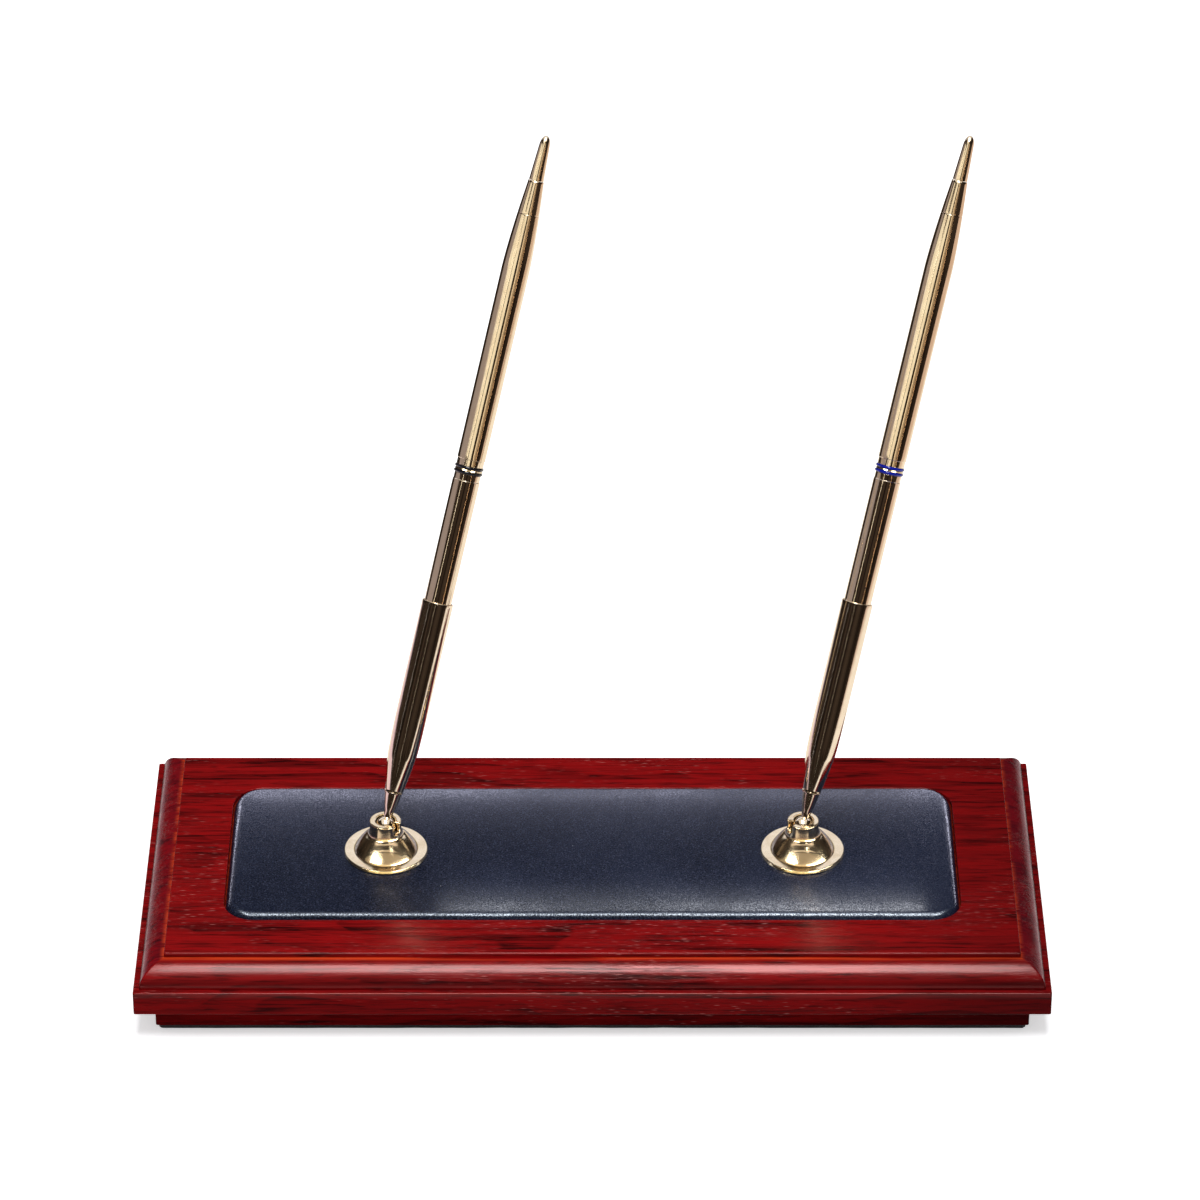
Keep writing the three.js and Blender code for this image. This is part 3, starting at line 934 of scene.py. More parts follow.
@dataclass(frozen=True)
class FineLeather:
    """Black-blue leather with a fine pebble grain and a low sheen."""

    base: Colour = (0.0022, 0.0046, 0.0165)
    worn: Colour = (0.010, 0.017, 0.048)
    # Pale specks painted where the glints lie: painted highlights on the grain.
    grain: Colour = (0.055, 0.066, 0.115)
    dust: Colour = (0.5, 0.52, 0.6)

    def material(self, effects: Effects) -> bpy.types.Material:
        """Build the material from cells for the pebbles and clouds for the wear.

        Args:
            effects: The shared node groups.

        Returns:
            The material.
        """
        material, graph, shader = new_finish("fine_leather")
        place = graph.stretched((1.0, 1.0, 1.0))
        pebbles = graph.cells(place, 2900.0)
        creases = graph.noise(place, 2300.0, 3.0)
        glints = graph.noise(place, 3000.0, 2.0)
        cloud = graph.use(effects.mottle, place, scale=17.0, low=0.40, high=0.62)
        spot = graph.use(effects.specks, place, scale=95.0, size=0.022)
        colour = graph.blend(cloud * 0.6, self.base, self.worn)
        colour = graph.blend(creases.span(0.46, 0.64), colour, self.worn)
        # Paint pale glints into the colour, as highlights on the grain.
        colour = graph.blend(glints.span(0.55, 0.66), colour, self.grain)
        colour = graph.blend(spot * 0.8, colour, self.dust)
        upward = graph.split(graph.coordinates("Normal"))[2]
        rolled = cloud * 0.3 + upward.span(0.97, 0.9, 0.08, 0.7)
        graph.settle(
            shader,
            Base_Color=colour,
            Roughness=creases.span(0.3, 0.7, 0.26, 0.34),
            Coat_Weight=rolled * glints.span(0.42, 0.60, 0.08, 1.0),
            Specular_IOR_Level=0.14,
            Coat_Roughness=0.20,
            Coat_IOR=2.1,
        )
        graph.bump(shader, pebbles * 0.6 + creases * 0.8, 0.55, 0.00011)
        return material


@dataclass(frozen=True)
class PolishedMetal:
    """Turned and polished metal, with the lathe's fine lines and a soft unevenness."""

    name: str
    base: Colour
    shade: Colour
    roughness: float
    line_depth: float = 0.0000012

    def material(self, effects: Effects, axis: Axis | None = None) -> bpy.types.Material:
        """Build the material.

        Args:
            effects: The shared node groups.
            axis: The axis that fine polishing lines run along, or None for no direction.

        Returns:
            The material.
        """
        material, graph, shader = new_finish(self.name)
        place = graph.stretched((1.0, 1.0, 1.0))
        cloud = graph.use(effects.mottle, place, scale=260.0, low=0.3, high=0.75)
        relief = graph.noise(place, 1500.0, 4.0)
        if axis is not None:
            drawn = graph.leaning(axis, (1500.0, 1500.0, 40.0))
            relief = graph.use(effects.fibres, drawn, scale=1.0, contrast=1.0) + relief * 0.6
        graph.settle(
            shader,
            Base_Color=graph.blend(cloud * 0.5, self.base, self.shade),
            Roughness=cloud * 0.05 + self.roughness,
            Metallic=1.0,
        )
        graph.bump(shader, relief, 0.6, self.line_depth)
        return material


@dataclass(frozen=True)
class Moulded:
    """A plain moulded or pressed stuff with clouds, specks and a fine relief."""

    name: str
    base: Colour
    shade: Colour
    roughness: float
    grain: float
    depth: float
    sheen: float = 0.0
    coat: float = 0.0

    def material(self, effects: Effects) -> bpy.types.Material:
        """Build the material.

        Args:
            effects: The shared node groups.

        Returns:
            The material.
        """
        material, graph, shader = new_finish(self.name)
        place = graph.stretched((1.0, 1.0, 1.0))
        cloud = graph.use(effects.mottle, place, scale=self.grain / 6, low=0.3, high=0.7)
        speck = graph.use(effects.specks, place, scale=self.grain / 2, size=0.2)
        fibre = graph.use(effects.fibres, place, scale=self.grain, contrast=1.5)
        colour = graph.blend(cloud * 0.7, self.base, self.shade)
        graph.settle(
            shader,
            Base_Color=graph.blend(speck * 0.25, colour, self.shade),
            Roughness=fibre.span(0.0, 1.0, self.roughness * 0.9, self.roughness * 1.1),
            Sheen_Weight=self.sheen,
            Coat_Weight=self.coat,
            Coat_Roughness=0.08,
        )
        graph.bump(shader, fibre, 0.5, self.depth)
        return material


GOLD_BELL = PolishedMetal("gold_bell", (0.96, 0.82, 0.58), (0.80, 0.60, 0.34), 0.16, 0.00004)
GOLD_TUBE = PolishedMetal("gold_funnel", (0.95, 0.81, 0.62), (0.84, 0.69, 0.50), 0.09, 0.000005)
GOLD_BARREL = PolishedMetal("gold_barrel", (0.95, 0.80, 0.60), (0.88, 0.71, 0.50), 0.08, 0.0000015)
GOLD_REAR = PolishedMetal("gold_rear", (0.95, 0.80, 0.58), (0.86, 0.68, 0.46), 0.09, 0.0000007)
BRASS = PolishedMetal("turned_brass", (0.60, 0.43, 0.17), (0.50, 0.34, 0.12), 0.28)
STEEL = PolishedMetal("zinc_steel", (0.55, 0.56, 0.58), (0.45, 0.46, 0.48), 0.3)
FELT = Moulded(
    "pressed_felt", (0.006, 0.006, 0.007), (0.02, 0.02, 0.024), 0.95, 2600.0, 0.0004, sheen=0.3
)
FOAM = Moulded("padding_foam", (0.58, 0.55, 0.47), (0.48, 0.44, 0.36), 0.95, 1800.0, 0.0003)
BOARD = Moulded("fibreboard", (0.20, 0.12, 0.055), (0.13, 0.075, 0.035), 0.85, 2200.0, 0.0001)
NYLON = Moulded("natural_nylon", (0.76, 0.74, 0.64), (0.68, 0.65, 0.55), 0.42, 900.0, 0.00001)
BLACK = Moulded(
    "gloss_black", (0.004, 0.004, 0.006), (0.009, 0.009, 0.014), 0.18, 1200.0, 0.000004, coat=0.5
)
BLUE = Moulded(
    "gloss_blue", (0.001, 0.006, 0.19), (0.001, 0.010, 0.28), 0.16, 1200.0, 0.000004, coat=0.5
)


class Finishes:
    """Every material of the pen stand."""

    def __init__(self, effects: Effects, base: "WoodenBase", leaning: Axis) -> None:
        """Build the materials.

        Args:
            effects: The shared node groups.
            base: The wooden base, whose edges the painted catch light, shade and sheen follow.
            leaning: The pens' axis, which the polish follows.
        """
        self.wood = LacqueredWood().material(effects, base)
        self.leather = FineLeather().material(effects)
        self.gold = GOLD_BELL.material(effects)
        self.tube = GOLD_TUBE.material(effects, leaning)
        self.barrel = GOLD_BARREL.material(effects, leaning)
        self.rear = GOLD_REAR.material(effects, leaning)
        self.brass = BRASS.material(effects)
        self.steel = STEEL.material(effects)
        self.felt = FELT.material(effects)
        self.foam = FOAM.material(effects)
        self.board = BOARD.material(effects)
        self.nylon = NYLON.material(effects)
        self.black = BLACK.material(effects)
        self.blue = BLUE.material(effects)

    def receivers(self) -> dict[Lit, list[bpy.types.Object]]:
        """Sort the dressed pieces into the groups that some lamps are kept to.

        Returns:
            The pieces of each group, and for NOT_BELLS_OR_PAD those that are left out.
        """
        groups = {
            Lit.BELLS: (self.gold,),
            Lit.TUBES: (self.tube,),
            Lit.PENS: (self.barrel, self.rear),
            Lit.REARS: (self.rear,),
            Lit.METAL: (self.gold, self.tube, self.barrel, self.rear),
            Lit.SLIM: (self.tube, self.barrel, self.rear),
            Lit.NOT_BELLS_OR_PAD: (self.gold, self.leather),
            Lit.LEATHER: (self.leather,),
        }
        return {
            lit: [piece for piece in dressed if piece.active_material in materials]
            for lit, materials in groups.items()
        }


def rectangle_ring(
    half_x: float,
    half_y: float,
    radius: float,
    height: float,
    sides: tuple[int, int] = (48, 20),
    corner: int = 10,
) -> np.ndarray:
    """Give the points of a rectangle with round corners, at a height.

    The count of points depends only on sides and corner, so rings of any size
    join to each other point by point.

    Args:
        half_x: Half the rectangle's length.
        half_y: Half its depth.
        radius: The radius of its corners.
        height: The height of all points.
        sides: The number of steps along the long and the short sides.
        corner: The number of steps round each corner.

    Returns:
        One row of X, Y and Z for each point, counterclockwise.
    """
    x, y = half_x - radius, half_y - radius
    turns = np.linspace(0, math.pi / 2, corner + 1)
    centres = [(x, -y, -math.pi / 2), (x, y, 0.0), (-x, y, math.pi / 2), (-x, -y, math.pi)]
    pieces = []
    for index, (cx, cy, start) in enumerate(centres):
        angles = start + turns
        arc = np.stack([cx + radius * np.cos(angles), cy + radius * np.sin(angles)], axis=1)
        next_x, next_y, next_start = centres[(index + 1) % 4]
        entry = np.array([
            next_x + radius * math.cos(next_start),
            next_y + radius * math.sin(next_start),
        ])
        steps = sides[1] if index % 2 == 0 else sides[0]
        share = np.linspace(0, 1, steps + 1)[1:-1, None]
        pieces += [arc, arc[-1] * (1 - share) + entry * share]
    flat = np.concatenate(pieces)
    return np.concatenate([flat, np.full((len(flat), 1), height)], axis=1)


def medial_ring(ring: np.ndarray, height: float) -> np.ndarray:
    """Fold a rectangular ring onto the middle line of its rectangle.

    Each point goes to the nearest place on the line that lies half the depth
    away from both ends.

    Args:
        ring: The points of a rectangular ring round the origin.
        height: The height of all points.

    Returns:
        One row of X, Y and Z for each point.
    """
    half_x, half_y = ring[:, 0].max(), ring[:, 1].max()
    folded = np.zeros_like(ring)
    folded[:, 0] = np.clip(ring[:, 0], half_y - half_x, half_x - half_y)
    folded[:, 2] = height
    return folded


def slab(rings: list[np.ndarray]) -> np.ndarray:
    """Close a stack of rectangular rings at both ends, from the lowest to the highest."""
    first, last = rings[0], rings[-1]
    return np.array([medial_ring(first, first[0, 2]), *rings, medial_ring(last, last[0, 2])])


@dataclass
class WoodenBase:
    """The moulded wooden board and the felt under it."""

    plinth_inset: float = 5.2
    plinth_top: float = 8.8
    ledge_top: float = 15.65
    ledge_width: float = 1.6
    riser_inset: float = 7.95
    riser_bottom: float = 21.45
    upright_edge: float = 0.45
    pad_gap: float = 0.3
    pad_corner: float = 8.0
    recess_depth: float = 3.5
    recess_rim: float = 6.0
    spigot_radius: float = 5.0
    spigot_depth: float = 3.3
    screw_radius: float = 2.3
    counterbore_radius: float = 7.0
    counterbore_depth: float = 6.5
    felt_thickness: float = 1.5
    felt_edge: float = 0.35
    felt_corner: float = 1.2
    felt_rim: float = 12.0
    felt_inset: float = 0.1
    fuzz: float = 0.05

    def __post_init__(self) -> None:
        """Take the board's size from its node."""
        low, high = node_box("base_board")
        self.half_length = float(high[0])
        self.half_depth = float(high[1])
        self.bottom = float(low[2])
        self.top = float(high[2])

    def section(self) -> np.ndarray:
        """Work out the moulding's section, from the plinth's foot to the flat top.

        The quarter-round is a quarter of an ellipse between the ledge and the
        riser: inset = ledge + width (1 - cos a) and height = foot + rise sin a.

        Returns:
            One row of inset from the board's edge and height for each point.
        """
        lower = rounded([
            (self.plinth_inset + 1.5, self.bottom, 0),
            (self.plinth_inset, self.bottom, 0.25),
            (self.plinth_inset, self.plinth_top, 0.12),
            (0.0, self.plinth_top, 0.3),
            (0.0, self.ledge_top, 0.22),
            (self.ledge_width, self.ledge_top, 0.0),
        ], 4)
        angles = np.linspace(0, math.pi / 2, 25)
        width = self.riser_inset - self.ledge_width
        rise = self.riser_bottom - self.ledge_top
        ovolo = np.stack([
            self.ledge_width + width * (1 - np.cos(angles)),
            self.ledge_top + rise * np.sin(angles),
        ], axis=1)
        upper = rounded([
            (self.riser_inset, self.riser_bottom, 0),
            (self.riser_inset, self.top, 0.22),
            (self.riser_inset + 1.2, self.top, 0),
        ], 5)
        return np.concatenate([lower, ovolo[1:], upper[1:]])

    def board_ring(self, inset: float, height: float) -> np.ndarray:
        """Give the points of the board's outline, set in from its edge, at a height.

        Each corner is a small arc that keeps its radius at every inset, so the
        mouldings meet in mitres.
        """
        half_x, half_y = self.half_length - inset, self.half_depth - inset
        return rectangle_ring(half_x, half_y, self.upright_edge, height)

    def pocket_ring(self, inset: float, height: float) -> np.ndarray:
        """Give the points of the pad's pocket, set in from its edge, at a height.

        Args:
            inset: How far the ring lies inside the pocket's edge.
            height: The height of all points.

        Returns:
            One row of X, Y and Z for each point.
        """
        _, high = node_box("pad_leather")
        reach = self.pad_gap - inset
        return rectangle_ring(high[0] + reach, high[1] + reach, self.pad_corner + reach, height)

    def build(self, finishes: Finishes, holders: list[Vector3]) -> None:
        """Make the board and the felt.

        Args:
            finishes: The materials.
            holders: Where the two holders stand.
        """
        outer = [self.board_ring(inset, height) for inset, height in self.section()]
        floor = self.top - self.recess_depth
        pocket = rounded([
            (-1.0, self.top, 0),
            (0.0, self.top, 0.18),
            (0.0, floor, 0.1),
            (self.recess_rim, floor, 0),
        ], 4)
        inner = [self.pocket_ring(inset, height) for inset, height in pocket]
        board = surface("wooden_board", slab(outer + inner), sharp=35.0)
        head = self.felt_thickness + self.counterbore_depth
        neck = floor - self.spigot_depth
        drill(board, np.array([
            (0, self.bottom - 1),
            (self.counterbore_radius, self.bottom - 1),
            (self.counterbore_radius, head),
            (self.screw_radius, head),
            (self.screw_radius, neck),
            (self.spigot_radius, neck),
            (self.spigot_radius, floor + 1),
            (0, floor + 1),
        ]), holders)
        dress(board, finishes.wood, "base", Slot.WOOD, "base_board")
        self.build_felt(finishes)

    def build_felt(self, finishes: Finishes) -> None:
        """Make the felt sheet with a soft, slightly uneven edge.

        Each ring is drawn in by a little and by two waves along the edge. The
        middle lines that close the sheet stay.

        Args:
            finishes: The materials.
        """
        _, high = node_box("felt_underlay")
        section = rounded([
            (self.felt_rim, 0.0, 0),
            (0.0, 0.0, self.felt_edge),
            (0.0, self.felt_thickness, self.felt_edge),
            (self.felt_rim, self.felt_thickness, 0),
        ], 4)
        rings = slab([
            rectangle_ring(high[0] - inset, high[1] - inset, self.felt_corner, height)
            for inset, height in section
        ])
        along = rings[..., 0] + rings[..., 1]
        waves = np.sin(along * 1.9) + np.sin(along * 4.3 + 1.0)
        inward = self.felt_inset + self.fuzz * waves
        inward[[0, -1]] = 0.0
        size = np.linalg.norm(rings[..., :2], axis=2) + 1e-9
        rings[..., :2] *= (1 - inward / size)[..., None]
        dress(surface("felt_sheet", rings), finishes.felt, "base", Slot.FELT, "felt_underlay")


@dataclass
class LeatherPad:
    """The inlaid pad: leather over foam on a board."""

    corner: float = 8.0
    roll: float = 2.9
    back_roll: float = 1.1
    flat_rim: float = 24.0
    thickness: float = 1.0
    crown: float = 0.12
    ripple: float = 0.07
    ripple_width: float = 5.0
    dip: float = 0.06
    dip_start: float = 11.0
    dip_width: float = 2.2
    hole: float = 5.0
    hole_ends: tuple[float, float] = (18.0, 30.0)
    foam_gap: float = 0.25
    foam_rim: float = 10.0
    foam_edge: float = 0.7

    def __post_init__(self) -> None:
        """Take the pad's size from its node."""
        low, high = node_box("pad_leather")
        self.half_length, self.half_depth = float(high[0]), float(high[1])
        self.bottom, self.top = float(low[2]), float(high[2])

    def ring(self, inset: float, height: float) -> np.ndarray:
        """Give the points of the pad's outline, set in from its edge, at a height."""
        half_x, half_y = self.half_length - inset, self.half_depth - inset
        return rectangle_ring(half_x, half_y, max(self.corner - inset, 0.5), height, (150, 46), 16)

    def rings(self, roll: float) -> np.ndarray:
        """Give all rings of the skin: up its side, round the rolled edge and over the flat.

        Args:
            roll: The radius of the rolled edge.

        Returns:
            A grid of places: rings by points by X, Y and Z, from the foot to the middle.
        """
        centre = self.top - roll
        angles = np.linspace(0, math.pi / 2, 17)
        flat = roll + (self.flat_rim - roll) * np.linspace(0, 1, 26)[1:] ** 1.3
        insets = [*np.repeat(0.0, 4), *(roll * (1 - np.cos(angles))), *flat]
        heights = [
            *np.linspace(self.bottom, centre, 4, endpoint=False),
            *(centre + roll * np.sin(angles)),
            *np.repeat(self.top, len(flat)),
        ]
        rings = [self.ring(inset, height) for inset, height in zip(insets, heights)]
        return np.array([*rings, medial_ring(rings[-1], self.top)])

    def unevenness(self, points: np.ndarray, holders: list[Vector3]) -> np.ndarray:
        """Work out how far the leather lies below its highest level.

        Slow waves that grow towards the rolled edge are added to a dip round each
        flange, where the screw pulls the leather down.

        Args:
            points: Places on the pad's top.
            holders: Where the holders stand.

        Returns:
            A depth for each point.
        """
        x, y = points[..., 0], points[..., 1]
        edge = np.minimum(self.half_length - np.abs(x), self.half_depth - np.abs(y))
        near = np.exp(-((edge / self.ripple_width) ** 2))
        slow = np.sin(x * 0.21 + 1.3) + np.sin(x * 0.47 + y * 0.2) + np.sin(y * 0.5 - x * 0.11)
        depth = self.ripple * near * (1 + slow / 3)
        depth = depth + self.crown * 0.25 * (1 + np.sin(x * 0.055 + 0.4) * np.sin(y * 0.09))
        for place in holders:
            away = np.maximum(np.hypot(x - place[0], y - place[1]) - self.dip_start, 0)
            depth = depth + self.dip * np.exp(-((away / self.dip_width) ** 2))
        return depth

    def build(self, finishes: Finishes, holders: list[Vector3]) -> None:
        """Make the leather skin and the foam, and finish the backing board.

        Args:
            finishes: The materials.
            holders: Where the holders stand.
        """
        wide, tight = self.rings(self.roll), self.rings(self.back_roll)
        towards_back = np.clip((wide[0, :, 1] - self.half_depth + self.corner) / self.corner, 0, 1)
        share = (towards_back**2 * (3 - 2 * towards_back))[None, :, None]
        points = wide * (1 - share) + tight * share
        height = np.clip((points[..., 2] - self.top) / self.roll + 1, 0, 1)
        points[..., 2] -= self.unevenness(points, holders) * height**2
        skin = surface("leather_skin", points, sharp=80.0)
        wall = skin.modifiers.new("thickness", "SOLIDIFY")
        wall.thickness = self.thickness * MM
        wall.offset = -1.0
        wall.use_even_offset = True
        bake(skin, 80.0)
        low, high = self.hole_ends
        opening = np.array([(0, low), (self.hole, low), (self.hole, high), (0, high)])
        drill(skin, opening, holders)
        shade(skin.data, 80.0)
        dress(skin, finishes.leather, "base", Slot.LEATHER, "pad_leather")
        foam = self.foam()
        drill(foam, opening, holders)
        dress(foam, finishes.foam, "base", Slot.FOAM, "pad_foam")
        cover(frame["nodes"]["pad_backing"], finishes.board)

    def foam(self) -> bpy.types.Object:
        """Make the foam between the backing board and the leather.

        Returns:
            The new object.
        """
        low, high = node_box("pad_foam")
        gap = self.foam_gap
        corner = self.corner - (self.half_length - high[0])
        section = rounded([
            (self.foam_rim, low[2] + gap / 2, 0),
            (gap, low[2] + gap / 2, 0.2),
            (gap, high[2] - gap, self.foam_edge),
            (self.foam_rim, high[2] - gap, 0),
        ], 5)
        return surface("foam_layer", slab([
            rectangle_ring(high[0] - inset, high[1] - inset, max(corner - inset, 0.5), height)
            for inset, height in section
        ]))


@dataclass
class TurnedWork:
    """Pieces of one holder that are turned about the same axis."""

    side: Side
    axis: Axis

    def span(self, part: str) -> Span:
        """Measure one of this side's nodes along the axis."""
        return node_span(self.side.own(part), self.axis)

    def turn(
        self,
        name: str,
        outline: np.ndarray,
        material: bpy.types.Material,
        body: str,
        part: str,
        slot: Slot = Slot.GOLD,
        ring: bool = True,
        facets: int = SLIM_RADIAL,
    ) -> None:
        """Turn one piece and dress it.

        Args:
            name: The piece's name after the side.
            outline: Its radius and height, point by point.
            material: Its material.
            body: The name of its body after the side.
            part: The name of the node that it replaces, after the side.
            slot: The record's slot, passed on to dress, which does not use it.
            ring: Whether the outline closes on itself round a hole.
            facets: The number of steps round the axis.
        """
        points = revolve(outline, self.axis, facets)
        piece = surface(self.side.own(name), points, wrap_rows=ring)
        dress(piece, material, self.side.own(body), slot, self.side.own(part))


@dataclass
class SocketBell(TurnedWork):
    """A turned bell with a flange, a dome, a neck and a lip with a notch."""

    notch_angle: float
    height: float = 10.15
    flange_radius: float = 11.25
    flange: float = 1.05
    dome_radius: float = 8.65
    shoulder: tuple[float, float] = (4.95, 5.65)
    slope: float = 0.66
    neck_radius: float = 4.2
    neck_start: float = 8.4
    lip_radius: float = 2.5
    lip_drop: float = 0.27
    lip_flare: float = 1.3
    socket: float = 3.1
    socket_floor: float = 5.65
    throat: float = 3.15
    hollow: tuple[tuple[float, float], ...] = ((4.25, 4.8), (6.4, 2.9))
    cavity: tuple[float, float] = (7.0, 2.1)
    notch_half: float = 1.4
    notch_depth: float = 3.1
    notch_corner: float = 0.45
    bead: float = 0.36

    def outer(self) -> np.ndarray:
        """Work out the outline from under the flange to the top of the straight neck.

        Returns:
            One row of radius and height for each point.
        """
        flange = rounded([
            (self.cavity[0], 0.0, 0),
            (self.flange_radius, 0.0, 0.15),
            (self.flange_radius, 0.3, 0.3),
            (self.flange_radius - 0.23, self.flange, 0.22),
            (self.dome_radius, self.flange, 0),
        ], 6)
        radius, height = self.shoulder
        drop = height - self.flange
        dome_handle = 0.3 * (self.dome_radius - radius)
        neck_handle = 0.78 * (radius - self.neck_radius)
        dome = curve(
            (self.dome_radius, self.flange),
            (self.dome_radius - 0.2, self.flange + 0.15 * drop),
            (radius + dome_handle, height - dome_handle * self.slope),
            self.shoulder,
            22,
        )
        neck = curve(
            self.shoulder,
            (radius - neck_handle, height + neck_handle * self.slope),
            (self.neck_radius, self.neck_start - 0.45 * (self.neck_start - height)),
            (self.neck_radius, self.neck_start),
            16,
        )
        top = np.array([(self.neck_radius, self.height + 1.0)])
        return np.concatenate([flange, dome[1:], neck[1:], top])

    def edge(self, count: int) -> tuple[np.ndarray, np.ndarray]:
        """Follow the lip's edge round the neck and down into the notch and out again.

        The edge is laid out flat, across by up: along the top, round a small
        corner, down one side of the notch and half way round its bottom. The
        other half is its mirror image.

        Args:
            count: The number of points all round.

        Returns:
            Across and up for each point, and the edge's direction into the open side.
        """
        half, corner = self.notch_half, self.notch_corner
        low = self.height - self.notch_depth + half
        top = self.height - corner
        far = math.pi * self.neck_radius
        turns = np.linspace(0, math.pi / 2, 40)
        bottom = np.stack([half * np.sin(turns), low - half * np.cos(turns)], axis=1)
        wall = np.stack([np.full(20, half), np.linspace(low, top, 20)], axis=1)
        bend = np.stack([half + corner - corner * np.cos(turns), top + corner * np.sin(turns)], axis=1)
        rim = np.stack([np.linspace(half + corner, far, 240), np.full(240, self.height)], axis=1)
        path = np.concatenate([bottom, wall[1:], bend[1:], rim[1:]])
        steps = np.linalg.norm(np.diff(path, axis=0), axis=1)
        weight = np.where(path[1:, 0] > half + corner, 0.35, 1.0)
        length = np.concatenate([[0], np.cumsum(steps * weight)])
        even = np.linspace(0, length[-1], count // 2 + 1)
        points = np.stack([np.interp(even, length, path[:, axis]) for axis in (0, 1)], axis=1)
        tangent = np.gradient(points, axis=0)
        tangent[0], tangent[-1] = (1, 0), (1, 0)
        tangent = tangent / np.linalg.norm(tangent, axis=1, keepdims=True)
        normal = np.stack([-tangent[:, 1], tangent[:, 0]], axis=1)
        mirror = np.array([-1.0, 1.0])
        both = np.concatenate([points, (points[1:-1] * mirror)[::-1]])
        normals = np.concatenate([normal, (normal[1:-1] * mirror)[::-1]])
        return both, normals

    def outer_radius(self, height: np.ndarray) -> np.ndarray:
        """Give the radius of the bell's outside at a height above its shoulder.

        Args:
            height: Heights above the bell's foot.

        Returns:
            A radius for each height.
        """
        outline = self.outer()
        upper = outline[int(np.argmax(outline[:, 1] >= self.shoulder[1])):]
        return np.interp(height, upper[:, 1], upper[:, 0])

    def inner_radius(self, height: np.ndarray) -> np.ndarray:
        """Give the radius of the socket's inside at a height: a sphere, then a cone at the lip.

        Args:
            height: Heights above the bell's foot.

        Returns:
            A radius for each height.
        """
        lip = self.height - self.lip_drop
        ball = lip - math.sqrt(self.socket**2 - self.lip_radius**2)
        sphere = np.sqrt(np.maximum(self.socket**2 - np.maximum(height - ball, 0) ** 2, 0.1))
        radius = np.where(height < ball, self.throat, sphere)
        flare = self.lip_radius + (height - lip) * self.lip_flare
        return np.maximum(radius, np.where(height > lip, flare, 0))

    def ring(
        self, turn: np.ndarray, radius: np.ndarray | float, height: np.ndarray | float
    ) -> np.ndarray:
        """Give places round the bell.

        Args:
            turn: The angle of each place from the notch.
            radius: How far it lies from the axis.
            height: How high it lies above the bell's foot.

        Returns:
            One row of X, Y and Z for each place, in the bell's own frame.
        """
        angle = math.radians(self.notch_angle) + turn
        places = np.broadcast_arrays(radius * np.cos(angle), radius * np.sin(angle), height)
        return np.stack(places, axis=-1)

    def grid(self, count: int = 288) -> np.ndarray:
        """Work out the bell as one closed grid.

        Every column follows the outer outline up to the lip's edge, goes through
        the wall with both edges rounded, and comes down inside. Above the
        shoulder the columns lean, so that they meet the edge one to one.

        Args:
            count: The number of columns.

        Returns:
            A grid of places in the part's frame.
        """
        edge, normal = self.edge(count)
        across, up = edge.T
        side, rise = normal.T
        even = np.linspace(0, 2 * math.pi, count, endpoint=False)
        even = (even + math.pi) % (2 * math.pi) - math.pi
        even[count // 2] = math.pi
        edge_turn = across / self.neck_radius
        edge_turn[count // 2] = math.pi
        quarter = math.pi / 2

        # The outside, from under the flange to the shoulder and on to the lip.
        outline = self.outer()
        start = self.shoulder[1]
        shoulder = int(np.argmax(outline[:, 1] >= start))
        lower = outline[outline[:, 1] <= start + 1e-6][: shoulder + 1]
        rows = [self.ring(even, radius, height) for radius, height in lower]
        bead = self.bead
        lip_turn = edge_turn - bead * side / self.neck_radius
        lip_height = up - bead * rise
        for share in np.linspace(0, 1, 15)[1:]:
            height = start + (lip_height - start) * share
            rows.append(self.ring(even + (lip_turn - even) * share, self.outer_radius(height), height))

        # The lip's outer bead, its flat and its inner bead.
        notch = np.clip((np.abs(across) - self.notch_half) / 3.0, 0, 1)
        inside = self.inner_radius(up)
        reach = np.maximum(inside, self.notch_half + 0.9)
        wide = np.arcsin(np.clip(np.abs(across) / reach, -1, 1))
        inner_turn = np.sign(across) * np.where(notch > 0, np.abs(edge_turn), wide)
        inner_turn = inner_turn * (1 - notch) + edge_turn * notch
        lip_radius = self.outer_radius(lip_height)
        for angle in np.linspace(0, quarter, 7)[1:]:
            below = bead * (1 - math.sin(angle))
            turn = edge_turn - below * side / self.neck_radius
            rows.append(self.ring(turn, lip_radius - bead * (1 - math.cos(angle)), up - below * rise))
        outer_edge = lip_radius - bead
        small = 0.5 * bead
        inner_edge = np.minimum(inside + small, outer_edge - 0.1)
        for share in np.linspace(0, 1, 4)[1:]:
            turn = edge_turn + (inner_turn - edge_turn) * share
            rows.append(self.ring(turn, outer_edge + (inner_edge - outer_edge) * share, up))
        for angle in np.linspace(0, quarter, 5)[1:]:
            back = small * (1 - math.cos(angle))
            last_turn = inner_turn - back * side / self.socket
            last_height = up - back * rise
            inner = self.inner_radius(last_height) + (inner_edge - inside) * (1 - math.sin(angle))
            rows.append(self.ring(last_turn, inner, last_height))

        # The socket's inside and the hollow under it.
        for share in np.linspace(0, 1, 10)[1:]:
            turn = last_turn + (even - last_turn) * share
            height = last_height + (self.socket_floor - last_height) * share
            rows.append(self.ring(turn, self.inner_radius(height), height))
        rows += [self.ring(even, radius, height) for radius, height in (*self.hollow, self.cavity)]
        return self.axis.place(np.array(rows))

    def build(self, finishes: Finishes) -> None:
        """Make the bell."""
        bell = surface(self.side.own("bell"), self.grid(), wrap_rows=True, sharp=60.0)
        dress(bell, finishes.gold, "base", Slot.GOLD, self.side.own("socket_bell"))


